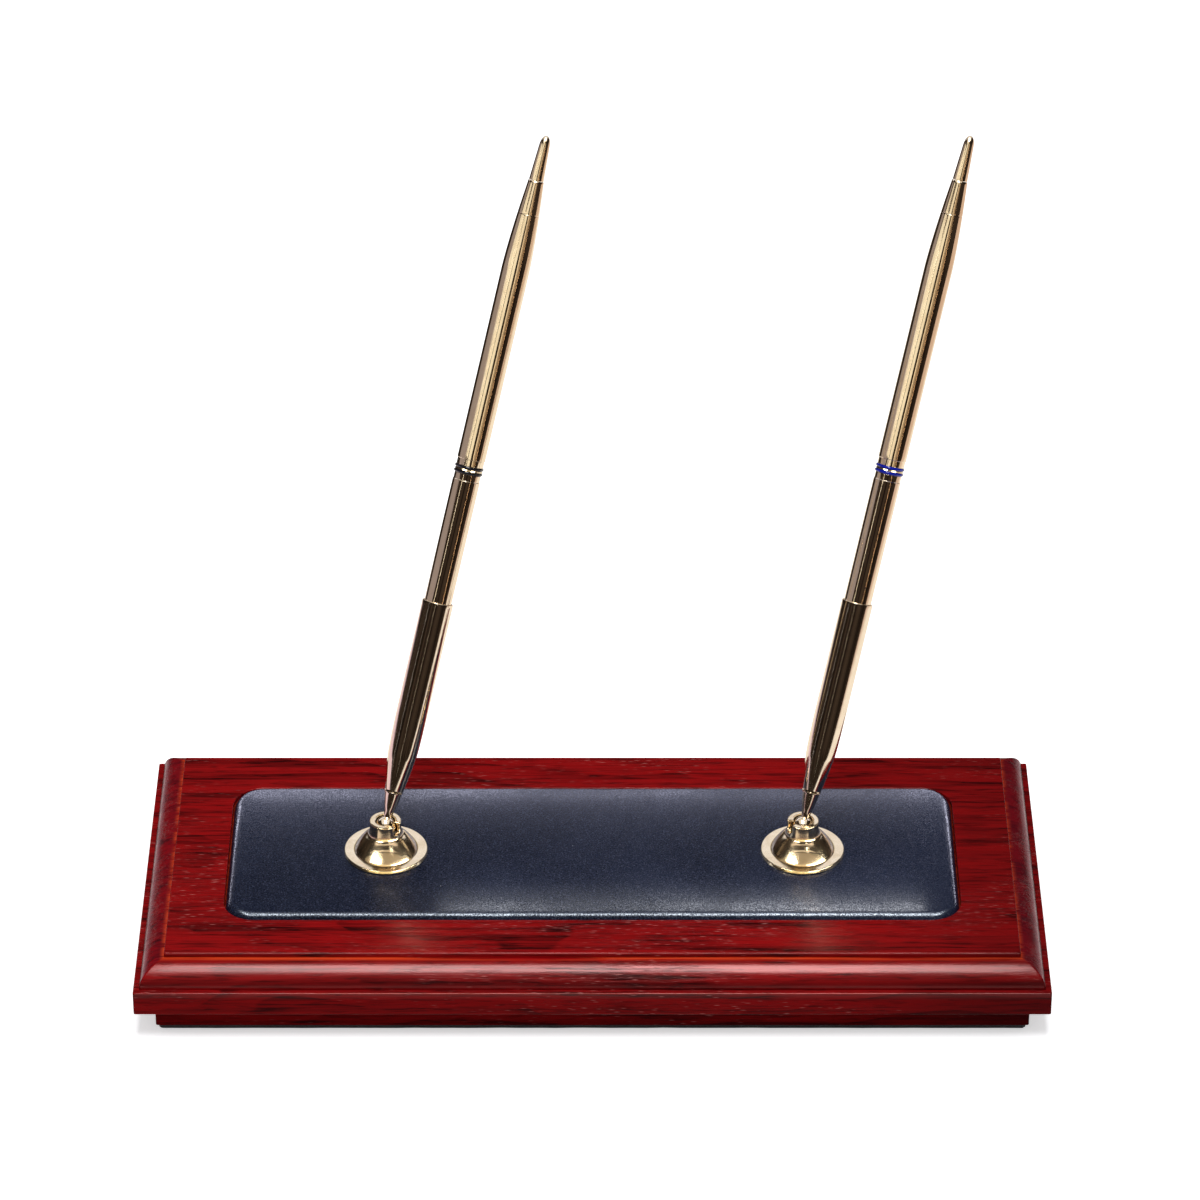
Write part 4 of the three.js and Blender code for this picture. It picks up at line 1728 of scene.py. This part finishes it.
@dataclass
class BallStem(TurnedWork):
    """The ball in the socket, its thin neck and the flared stem under the funnel."""

    neck: float = 1.15
    clear: float = 3.0
    flare: tuple[float, float] = (1.72, 5.87)
    top: tuple[float, float] = (2.4, 9.6)
    spigot: float = 1.5

    def build(self, finishes: Finishes) -> None:
        """Make the ball and the stem as one turned piece.

        Args:
            finishes: The materials.
        """
        span = self.span("ball_stem")
        radius = -span.start
        start = math.sqrt(radius**2 - self.neck**2)
        angles = np.linspace(-math.pi / 2, math.asin(start / radius), 40)
        ball = np.stack([radius * np.cos(angles), radius * np.sin(angles)], axis=1)
        slope = (self.top[0] - self.flare[0]) / (self.top[1] - self.flare[1])
        rise = self.flare[1] - self.clear
        neck = curve(
            (self.neck, start),
            (self.neck, self.clear + 0.2 * rise),
            (self.flare[0] - slope * 0.6 * rise, self.flare[1] - 0.6 * rise),
            self.flare,
            14,
        )
        stem = curve(
            self.flare,
            (self.flare[0] + slope, self.flare[1] + 1.0),
            (self.top[0] - slope, self.top[1] - 1.0),
            self.top,
            8,
        )
        end = rounded([
            (self.top[0], self.top[1] - 0.3, 0),
            (self.top[0], self.top[1], 0.1),
            (self.spigot, self.top[1], 0),
            (self.spigot, span.end, 0.15),
            (0.0, span.end, 0),
        ])
        outline = np.concatenate([ball, neck[1:], stem[1:-1], end[1:]])
        self.turn("ball_and_stem", outline, finishes.tube, "stem_body", "ball_stem", ring=False)


@dataclass
class Funnel(TurnedWork):
    """The tapered funnel that holds the pen, and the nylon cup inside it."""

    wall: float = 0.36
    foot: tuple[float, float] = (2.45, 9.7)
    cone: tuple[float, float] = (3.8, 18.7)
    straight: float = 32.0
    floor: float = 12.6
    spigot: float = 1.6
    lip: float = 0.14
    ledge: float = 0.09

    def taper(self, inward: float, start: float, radius: float) -> np.ndarray:
        """Follow the funnel from its foot cone to its straight tube.

        Args:
            inward: How far the outline is drawn in.
            start: Where it starts along the axis.
            radius: The radius of the straight tube, before it is drawn in.

        Returns:
            One row of radius and height for each point.
        """
        slope = (self.cone[0] - self.foot[0]) / (self.cone[1] - self.foot[1])
        rise = self.straight - self.cone[1]
        end = (self.cone[0] - inward, self.cone[1])
        first = np.array([(end[0] - slope * (self.cone[1] - start), start)])
        bend = curve(
            end,
            (end[0] + 0.12 * slope * rise, self.cone[1] + 0.12 * rise),
            (radius - inward, self.cone[1] + 0.62 * rise),
            (radius - inward, self.straight),
            14,
        )
        return np.concatenate([first, bend])

    def build(self, finishes: Finishes) -> None:
        """Make the funnel with a rounded mouth and a fine rim at its foot, and finish the cup.

        Args:
            finishes: The materials.
        """
        span = self.span("funnel")
        mouth, radius = span.end, span.radius
        bore = radius - self.wall
        foot_radius, foot = self.foot
        rim_foot = [
            (self.spigot, foot),
            (foot_radius + self.ledge - 0.08, foot),
            (foot_radius + self.ledge, foot + 0.08),
            (foot_radius + self.ledge, foot + 0.3),
            (foot_radius + 0.05, foot + 0.42),
        ]
        rim = rounded([
            (radius, mouth - 1.0, 0),
            (radius, mouth, self.lip),
            (bore, mouth, self.lip),
            (bore, mouth - 1.0, 0),
        ], 5)
        outer = self.taper(0, foot + 0.5, radius)
        inner = self.taper(self.wall, self.floor, radius)[::-1]
        outline = np.concatenate([rim_foot, outer, rim, inner, [(self.spigot, self.floor)]])
        self.turn("funnel_tube", outline, finishes.tube, "funnel_body", "funnel", facets=RADIAL)
        cover(frame["nodes"][self.side.own("funnel_insert")], finishes.nylon)


@dataclass
class Pen(TurnedWork):
    """A slim pen in two barrels with two thin rings between them."""

    ring_slot: Slot
    wall: float = 0.55
    rear_wall: float = 0.64
    collar_step: float = 0.14
    collar: float = 1.8
    tip_bore: float = 0.49
    tip_radius: float = 0.8
    nib_belly: tuple[float, float] = (2.0, 5.6)
    nib_bore: float = 1.35
    nib_bore_start: float = 18.2
    ring_bore: float = 3.05
    sleeve_radius: float = 2.95
    sleeve_bore: float = 2.35
    bead_half: float = 0.22
    bead_edge: float = 0.06
    taper_at: float = 153.0
    taper_power: float = 1.5
    taper_radius: float = 2.1
    bore_end: float = 168.0
    groove_at: float = 168.0
    groove_depth: float = 0.045
    groove_half: float = 0.1
    finial_start: float = 6.6
    finial_radius: float = 2.0
    finial_top: tuple[float, float] = (1.45, 186.4)
    spigot: float = 0.85

    def build(self, finishes: Finishes) -> None:
        """Make the pen's pieces from the nib to the finial.

        Args:
            finishes: The materials.
        """
        self.build_nib(finishes)
        self.build_front(finishes)
        self.build_rings(finishes)
        self.build_sleeve(finishes)
        self.build_rear(finishes)
        self.build_finial(finishes)

    def build_nib(self, finishes: Finishes) -> None:
        """Make the nib cone with softened edges and give the refill its brass.

        Args:
            finishes: The materials.
        """
        span = self.span("nib_cone")
        outline = rounded([
            (self.tip_bore, span.start + 0.6, 0),
            (self.tip_bore, span.start, 0.05),
            (self.tip_radius, span.start, 0.15),
            (self.nib_belly[0], span.start + self.nib_belly[1], 6.0),
            (span.radius, span.end, 0.1),
            (self.nib_bore, span.end, 0.1),
            (self.nib_bore, self.nib_bore_start, 0.1),
        ], 6)
        self.turn("nib", outline, finishes.barrel, "pen_body", "nib_cone")
        cover(frame["nodes"][self.side.own("refill")], finishes.brass)

    def build_front(self, finishes: Finishes) -> None:
        """Make the front barrel with its stepped collar under the ring.

        Args:
            finishes: The materials.
        """
        span = self.span("front_barrel")
        radius, bore = span.radius, span.radius - self.wall
        step = span.end - self.collar
        outline = rounded([
            (bore, span.end - 4.0, 0),
            (bore, span.start, 0.08),
            (radius - 0.18, span.start, 0.08),
            (radius, span.start + 0.36, 0.3),
            (radius, step, 0.09),
            (radius - self.collar_step, step + 0.12, 0.05),
            (radius - self.collar_step, span.end, 0.05),
            (bore, span.end, 0.05),
        ], 4)
        self.turn("front", outline, finishes.barrel, "pen_body", "front_barrel")

    def build_rings(self, finishes: Finishes) -> None:
        """Make the two thin rings at the middle joint.

        Args:
            finishes: The materials.
        """
        finish = finishes.black if self.ring_slot is Slot.BLACK_RING else finishes.blue
        for place, body in (("lower", "pen_body"), ("upper", "ring_body")):
            span = self.span(f"ring_{place}")
            middle = (span.start + span.end) / 2
            outline = rounded([
                (self.ring_bore, middle, 0),
                (self.ring_bore, span.start, 0.05),
                (span.radius, span.start, 0.4),
                (span.radius, span.end, 0.4),
                (self.ring_bore, span.end, 0.05),
                (self.ring_bore, middle + 0.01, 0),
            ], 6)
            self.turn(f"band_{place}", outline, finish, body, f"ring_{place}", self.ring_slot)

    def build_sleeve(self, finishes: Finishes) -> None:
        """Make the threaded sleeve with the thin collar that shows between the rings.

        Args:
            finishes: The materials.
        """
        span = self.span("joining_sleeve")
        middle = (span.start + span.end) / 2
        low, high = middle - self.bead_half, middle + self.bead_half
        tube, bore, edge = self.sleeve_radius, self.sleeve_bore, self.bead_edge
        outline = np.array([
            (bore, span.start),
            (tube - 0.1, span.start),
            (tube, span.start + 0.1),
            (tube, low),
            (span.radius - edge, low),
            (span.radius, low + edge),
            (span.radius, high - edge),
            (span.radius - edge, high),
            (tube, high),
            (tube, span.end - 0.1),
            (tube - 0.1, span.end),
            (bore, span.end),
        ])
        self.turn("sleeve", outline, finishes.gold, "pen_body", "joining_sleeve", Slot.BRASS)

    def build_rear(self, finishes: Finishes) -> None:
        """Make the rear barrel with its taper and the fine groove in it.

        The radius falls with a power of the distance past the taper's start, and
        the groove is a narrow bell curve taken off it.

        Args:
            finishes: The materials.
        """
        span = self.span("rear_barrel")
        radius, bore = span.radius, span.radius - self.rear_wall
        step = span.start + self.collar
        lower = rounded([
            (bore, span.start + 1.0, 0),
            (bore, span.start, 0.05),
            (radius - self.collar_step, span.start, 0.05),
            (radius - self.collar_step, step - 0.12, 0.05),
            (radius, step, 0.09),
            (radius, step + 1.0, 0),
        ], 4)
        length = span.end - self.taper_at
        near_groove = (self.groove_at - self.taper_at + np.linspace(-0.24, 0.24, 7)) / length
        share = np.sort(np.concatenate([np.linspace(0, 1, 36), near_groove]))
        height = self.taper_at + length * share
        groove = self.groove_depth * np.exp(-(((height - self.groove_at) / self.groove_half) ** 2))
        fall = (radius - self.taper_radius) * share**self.taper_power
        taper = np.stack([radius - fall - groove, height], axis=1)
        taper[-1] = (self.taper_radius, span.end - 0.1)
        inner = np.array([
            (self.taper_radius - 0.1, span.end),
            (self.spigot + 0.1, span.end),
            (self.spigot + 0.1, self.bore_end),
            (bore, self.taper_at),
        ])
        outline = np.concatenate([lower, taper, inner])
        self.turn("rear", outline, finishes.rear, "rear_body", "rear_barrel")

    def build_finial(self, finishes: Finishes) -> None:
        """Make the slender end piece with its rounded tip.

        Args:
            finishes: The materials.
        """
        span = self.span("finial")
        start = span.start + self.finial_start
        radius, height = self.finial_top
        lower = rounded([
            (0.0, span.start, 0),
            (self.spigot, span.start, 0.1),
            (self.spigot, start, 0),
            (self.finial_radius, start, 0.08),
            (radius, height, 0),
        ])
        tip = curve(
            self.finial_top,
            (radius - 0.1, height + 0.6 * (span.end - height)),
            (0.6 * radius, span.end),
            (0.0, span.end),
            16,
        )
        outline = np.concatenate([lower, tip[1:]])
        self.turn("end", outline, finishes.rear, "rear_body", "finial", ring=False)


@dataclass
class Holder:
    """One side of the stand: bell, ball, funnel and pen, with the pieces hidden in them."""

    side: Side
    notch_angle: float
    ring_slot: Slot

    def __post_init__(self) -> None:
        """Find the upright and the leaning axis from the frame's joints."""
        joint = next(j for j in frame["joints"] if j["name"] == self.side.own("spin"))
        self.ball = tuple(value / MM for value in joint["pos_m"])
        self.leaning = Axis(self.ball, tuple(joint["axis"]))
        low, _ = node_box(self.side.own("socket_bell"))
        self.upright = Axis((self.ball[0], self.ball[1], float(low[2])), (0.0, 0.0, 1.0))

    def build(self, finishes: Finishes) -> None:
        """Make every visible piece and finish the hidden ones.

        Args:
            finishes: The materials.
        """
        SocketBell(self.side, self.upright, self.notch_angle).build(finishes)
        BallStem(self.side, self.leaning).build(finishes)
        Funnel(self.side, self.leaning).build(finishes)
        Pen(self.side, self.leaning, self.ring_slot).build(finishes)
        hidden = {
            "retaining_bush": finishes.brass,
            "mount_screw": finishes.steel,
            "washer": finishes.steel,
            "seat_spring": finishes.steel,
            "ball_seat": finishes.nylon,
        }
        for part, material in hidden.items():
            cover(frame["nodes"][self.side.own(part)], material)


@dataclass(frozen=True)
class Lamp:
    """A soft rectangular lamp, by its direction from its centre.

    The azimuth runs from the back towards the right, and the elevation up from
    the table. The level is the lamp's brightness as seen, where 1 is white.
    Distance, size and centre are in metres.
    """

    name: str
    azimuth: float
    elevation: float
    distance: float
    size: tuple[float, float]
    level: float
    colour: Colour = (1.0, 1.0, 1.0)
    lit: Lit = Lit.ALL
    mirrored: bool = True
    centre: Vector3 = (0.0, 0.0, 0.0)

    def build(self, receivers: dict[Lit, bpy.types.Collection]) -> None:
        """Hang the lamp so that it faces its centre.

        Args:
            receivers: The collections of pieces that a lamp can be kept to.
        """
        around, up = math.radians(self.azimuth), math.radians(self.elevation)
        towards = np.array([
            math.sin(around) * math.cos(up),
            math.cos(around) * math.cos(up),
            math.sin(up),
        ])
        side = np.array([math.cos(around), -math.sin(around), 0.0])
        data = bpy.data.lights.new(self.name, "AREA")
        data.shape = "RECTANGLE"
        data.size, data.size_y = self.size
        data.energy = self.level * math.pi * data.size * data.size_y
        data.color = self.colour
        lamp = bpy.data.objects.new(self.name, data)
        turn = np.stack([-side, np.cross(towards, -side), towards], axis=1)
        lamp.matrix_world = Matrix(turn.tolist()).to_4x4()
        lamp.location = towards * self.distance + np.array(self.centre)
        bpy.context.scene.collection.objects.link(lamp)
        lamp.visible_glossy = self.mirrored
        lamp.visible_diffuse = self.lit in (Lit.ALL, Lit.NOT_BELLS_OR_PAD)
        if self.lit is not Lit.ALL:
            lamp.light_linking.receiver_collection = receivers[self.lit]


# Lamps for the whole object, the slim pieces and the metal.
ROOM_LAMPS = (
    Lamp("overhead", 180.0, 79.0, 1.57, (0.52, 1.0), 9.0, lit=Lit.NOT_BELLS_OR_PAD),
    Lamp("fill", 180.0, 74.0, 1.57, (0.52, 1.0), 5.6, mirrored=False),
    Lamp("ceiling", 0.0, 88.0, 1.7, (2.6, 2.4), 0.85, (1.0, 0.96, 0.9), Lit.SLIM),
    Lamp("back_card", 0.0, 35.0, 1.3, (2.8, 0.6), 1.0, (0.88, 0.89, 1.0), Lit.METAL),
)

# Windows and cards that the bells mirror, and a small one before each neck.
BELL_LAMPS = (
    Lamp("key_spot", -141.0, 30.0, 1.3, (0.68, 0.24), 15.0, (1.0, 0.97, 0.88), Lit.BELLS),
    Lamp("side_window", 132.0, 14.0, 1.3, (1.5, 0.34), 9.0, (1.0, 0.96, 0.86), Lit.BELLS),
    Lamp("small_window", 150.0, 50.0, 1.3, (0.10, 0.10), 9.0, (1.0, 0.95, 0.82), Lit.BELLS),
    Lamp("bell_top", 180.0, 75.0, 1.3, (2.2, 0.34), 1.0, (1.0, 0.86, 0.74), Lit.BELLS),
    Lamp("rim_light", 180.0, 3.0, 1.3, (2.6, 0.22), 1.6, (1.0, 0.84, 0.45), Lit.BELLS),
    Lamp("front_glow", 180.0, 17.0, 1.3, (1.8, 0.36), 0.50, (1.0, 0.80, 0.56), Lit.BELLS),
    Lamp("low_front_glow", 180.0, 61.0, 0.0331, (0.16, 0.012), 0.34, (1.0, 0.82, 0.60), Lit.BELLS),
    Lamp("left_neck_glow", 180.0, -31.0, 0.0035, (0.010, 0.0024), 0.8, (1.0, 0.86, 0.74), Lit.BELLS,
         centre=(-0.0567, -0.0037, 0.0301)),
    Lamp("right_neck_glow", 180.0, -31.0, 0.0035, (0.010, 0.0024), 0.8, (1.0, 0.86, 0.74), Lit.BELLS,
         centre=(0.0550, -0.0037, 0.0301)),
)

# Strips and cards that the barrels and funnels mirror as long lines.
PEN_LAMPS = (
    Lamp("left_wall", -92.0, 8.0, 1.3, (1.5, 0.9), 0.30, (1.0, 0.88, 0.93), Lit.PENS),
    Lamp("left_strip", -141.0, 18.0, 1.3, (0.04, 1.1), 2.2, (1.0, 0.93, 0.8), Lit.PENS),
    Lamp("right_strip", 144.0, 6.0, 1.3, (0.018, 1.0), 3.0, (1.0, 0.62, 0.36), Lit.PENS),
    Lamp("rear_front", -160.0, 32.0, 1.3, (0.50, 1.4), 0.95, (1.0, 0.95, 0.80), Lit.REARS),
    Lamp("rear_brown", 160.0, 18.0, 1.3, (0.46, 1.3), 0.34, (1.0, 0.74, 0.48), Lit.REARS),
    Lamp("rear_stripe", -124.0, 18.0, 1.3, (0.018, 1.2), 1.5, (1.0, 0.92, 0.78), Lit.REARS),
    Lamp("rear_fine_stripe", -134.0, 20.0, 1.3, (0.010, 1.2), 1.3, (1.0, 0.92, 0.78), Lit.REARS),
    Lamp("taper_side", -118.0, 33.0, 1.3, (0.9, 0.36), 0.9, (1.0, 0.95, 0.82), Lit.REARS),
    Lamp("rear_side", 167.0, 26.0, 1.3, (0.10, 1.3), 0.8, (1.0, 0.90, 0.70), Lit.REARS),
    Lamp("left_thin_strip", -114.0, 14.0, 1.3, (0.012, 1.0), 1.2, (0.9, 0.9, 1.0), Lit.TUBES),
    Lamp("front_thin_strip", -165.0, 18.0, 1.3, (0.010, 1.0), 1.2, (1.0, 0.95, 0.85), Lit.TUBES),
)

# Sheen on the leather: along its back, on its rolled edge and between the bells.
PAD_LAMPS = (
    Lamp("low_back_glow", 0.0, 36.1, 0.0551, (0.34, 0.006), 6.0, (0.80, 0.80, 1.0), Lit.LEATHER),
    Lamp("pad_roll", 0.0, 80.0, 1.5, (1.3, 0.7), 12.5, (0.82, 0.91, 1.0), Lit.LEATHER),
    Lamp("pad_glow", 180.0, 81.4, 0.0394, (0.13, 0.006), 10.5, (0.90, 0.93, 1.0), Lit.LEATHER,
         centre=(0.024, 0.0, 0.0)),
)


@dataclass
class Studio:
    """The floor, the white surroundings, the lamps and the camera.

    Places on the floor are in metres, and its reach and the dome's radius in
    millimetres.
    """

    lens: float = 171.6
    sensor: float = 36.0
    camera_place: Vector3 = (2.0, -1260.6, 899.4)
    camera_pitch: float = 32.28
    ambient: float = 0.42
    floor_reach: float = 6000.0
    floor_glow: float = 0.50
    dome_radius: float = 3500.0
    table: Colour = (0.88, 0.88, 0.90)
    table_front: float = -0.17
    wall: Colour = (0.024, 0.017, 0.013)
    sheet: Colour = (1.0, 0.96, 0.92)
    side_card: Colour = (0.70, 0.53, 0.46)
    left_card: Colour = (0.86, 0.68, 0.84)

    def build(self, receivers: dict[Lit, list[bpy.types.Object]]) -> None:
        """Make everything that isn't part of the object.

        Args:
            receivers: The pieces that some lamps are kept to.
        """
        self.camera()
        self.world()
        self.floor()
        self.room()
        collections = {}
        for lit, pieces in receivers.items():
            collection = bpy.data.collections.new(lit.value)
            for piece in pieces:
                collection.objects.link(piece)
            if lit is Lit.NOT_BELLS_OR_PAD:
                for entry in collection.collection_objects:
                    entry.light_linking.link_state = "EXCLUDE"
            collections[lit] = collection
        for lamp in ROOM_LAMPS + BELL_LAMPS + PEN_LAMPS + PAD_LAMPS:
            lamp.build(collections)

    def camera(self) -> None:
        """Place the camera at the photograph's viewing angle."""
        data = bpy.data.cameras.new("camera")
        data.lens = self.lens
        data.sensor_width = self.sensor
        data.clip_start, data.clip_end = 0.01, 50.0
        camera = bpy.data.objects.new("camera", data)
        camera.location = [value * MM for value in self.camera_place]
        camera.rotation_euler = (math.radians(90 - self.camera_pitch), 0.0, 0.0)
        bpy.context.scene.collection.objects.link(camera)
        bpy.context.scene.camera = camera
        bpy.context.scene.view_settings.view_transform = "Standard"

    @staticmethod
    def seen(graph: Graph) -> Value:
        """Give 1 for camera, glossy and transmission rays, and 0 for the others.

        Args:
            graph: The graph of a material or of the world.

        Returns:
            The value.
        """
        path = graph.add("ShaderNodeLightPath").outputs
        kinds = ("Is Camera Ray", "Is Glossy Ray", "Is Transmission Ray")
        camera, glossy, through = [Value(graph, path[kind]) for kind in kinds]
        return graph.math("MAXIMUM", graph.math("MAXIMUM", camera, glossy), through)

    def world(self) -> None:
        """Make the world white for the camera and in reflections, and a soft level as light."""
        world = bpy.data.worlds.new("surroundings")
        world.use_nodes = True
        bpy.context.scene.world = world
        graph = Graph(world.node_tree)
        level = self.seen(graph) * (1.0 - self.ambient) + self.ambient
        white = {"Color": (1, 1, 1, 1), "Strength": level}
        graph.show(graph.add("ShaderNodeBackground", white), "ShaderNodeOutputWorld")

    def floor(self) -> None:
        """Make a wide white table that keeps the object's shadow.

        Reflections see other colours on it: a sheet, a card at the left and one
        at the right, and the dim wall past the table's front and behind.
        """
        reach = self.floor_reach
        near = [[-reach, -reach, 0], [reach, -reach, 0]]
        far = [[-reach, reach, 0], [reach, reach, 0]]
        floor = surface("floor", np.array([near, far], float), wrap_columns=False)
        material, graph = new_material("white_table")
        strength = {"Strength": self.seen(graph) * self.floor_glow}
        glow = graph.read("ShaderNodeEmission", strength)
        matt = graph.read("ShaderNodeBsdfDiffuse", {"Color": (*self.table, 1)})
        table = graph.read("ShaderNodeAddShader", {0: glow, 1: matt})
        across, depth, _ = graph.split(graph.coordinates())
        beyond = depth.span(self.table_front + 0.03, self.table_front - 0.03)
        behind = across.span(-0.08, -0.14) * depth.span(0.20, 0.26)
        mirrored = graph.blend(across.span(0.25, 0.42), self.sheet, self.side_card)
        mirrored = graph.blend(across.span(-0.16, -0.24), mirrored, self.left_card)
        mirrored = graph.blend(graph.math("MAXIMUM", beyond, behind), mirrored, self.wall)
        card = graph.read("ShaderNodeEmission", {"Color": mirrored})
        glossy = graph.read("ShaderNodeLightPath", output="Is Glossy Ray")
        graph.show(graph.add("ShaderNodeMixShader", {0: glossy, 1: table, 2: card}))
        cover(floor, material)

    def room(self) -> None:
        """Make a dim dome that only reflections see, as a studio's walls behind the lamps."""
        angles = np.linspace(0.0, math.pi / 2, 24)
        outline = self.dome_radius * np.stack([np.cos(angles), np.sin(angles)], axis=1)
        upright = Axis((0, 0, 0), (0, 0, 1))
        dome = surface("studio_walls", revolve(outline, upright, SLIM_RADIAL))
        material, graph = new_material("studio_wall")
        cloud = graph.noise(graph.stretched((1.1, 1.1, 0.5)), 1.6, 5.0)
        walls = {"Color": (*self.wall, 1), "Strength": cloud.span(0.36, 0.68, 0.35, 2.1)}
        graph.show(graph.add("ShaderNodeEmission", walls))
        cover(dome, material)
        dome.visible_camera = False
        dome.visible_diffuse = False
        dome.visible_transmission = False
        dome.visible_volume_scatter = False
        dome.visible_shadow = False


def main() -> None:
    """Build the base, the pad, both holders and the studio."""
    logging.basicConfig(level=logging.INFO, format="%(name)s: %(message)s")
    base = WoodenBase()
    holders = [
        Holder(Side.LEFT, -39.0, Slot.BLACK_RING),
        Holder(Side.RIGHT, 203.0, Slot.BLUE_RING),
    ]
    finishes = Finishes(Effects(), base, holders[0].leaning)
    places = [(holder.ball[0], 0.0, 0.0) for holder in holders]
    base.build(finishes, places)
    LeatherPad().build(finishes, places)
    for holder in holders:
        holder.build(finishes)
    Studio().build(finishes.receivers())


if __name__ == "__main__":
    main()
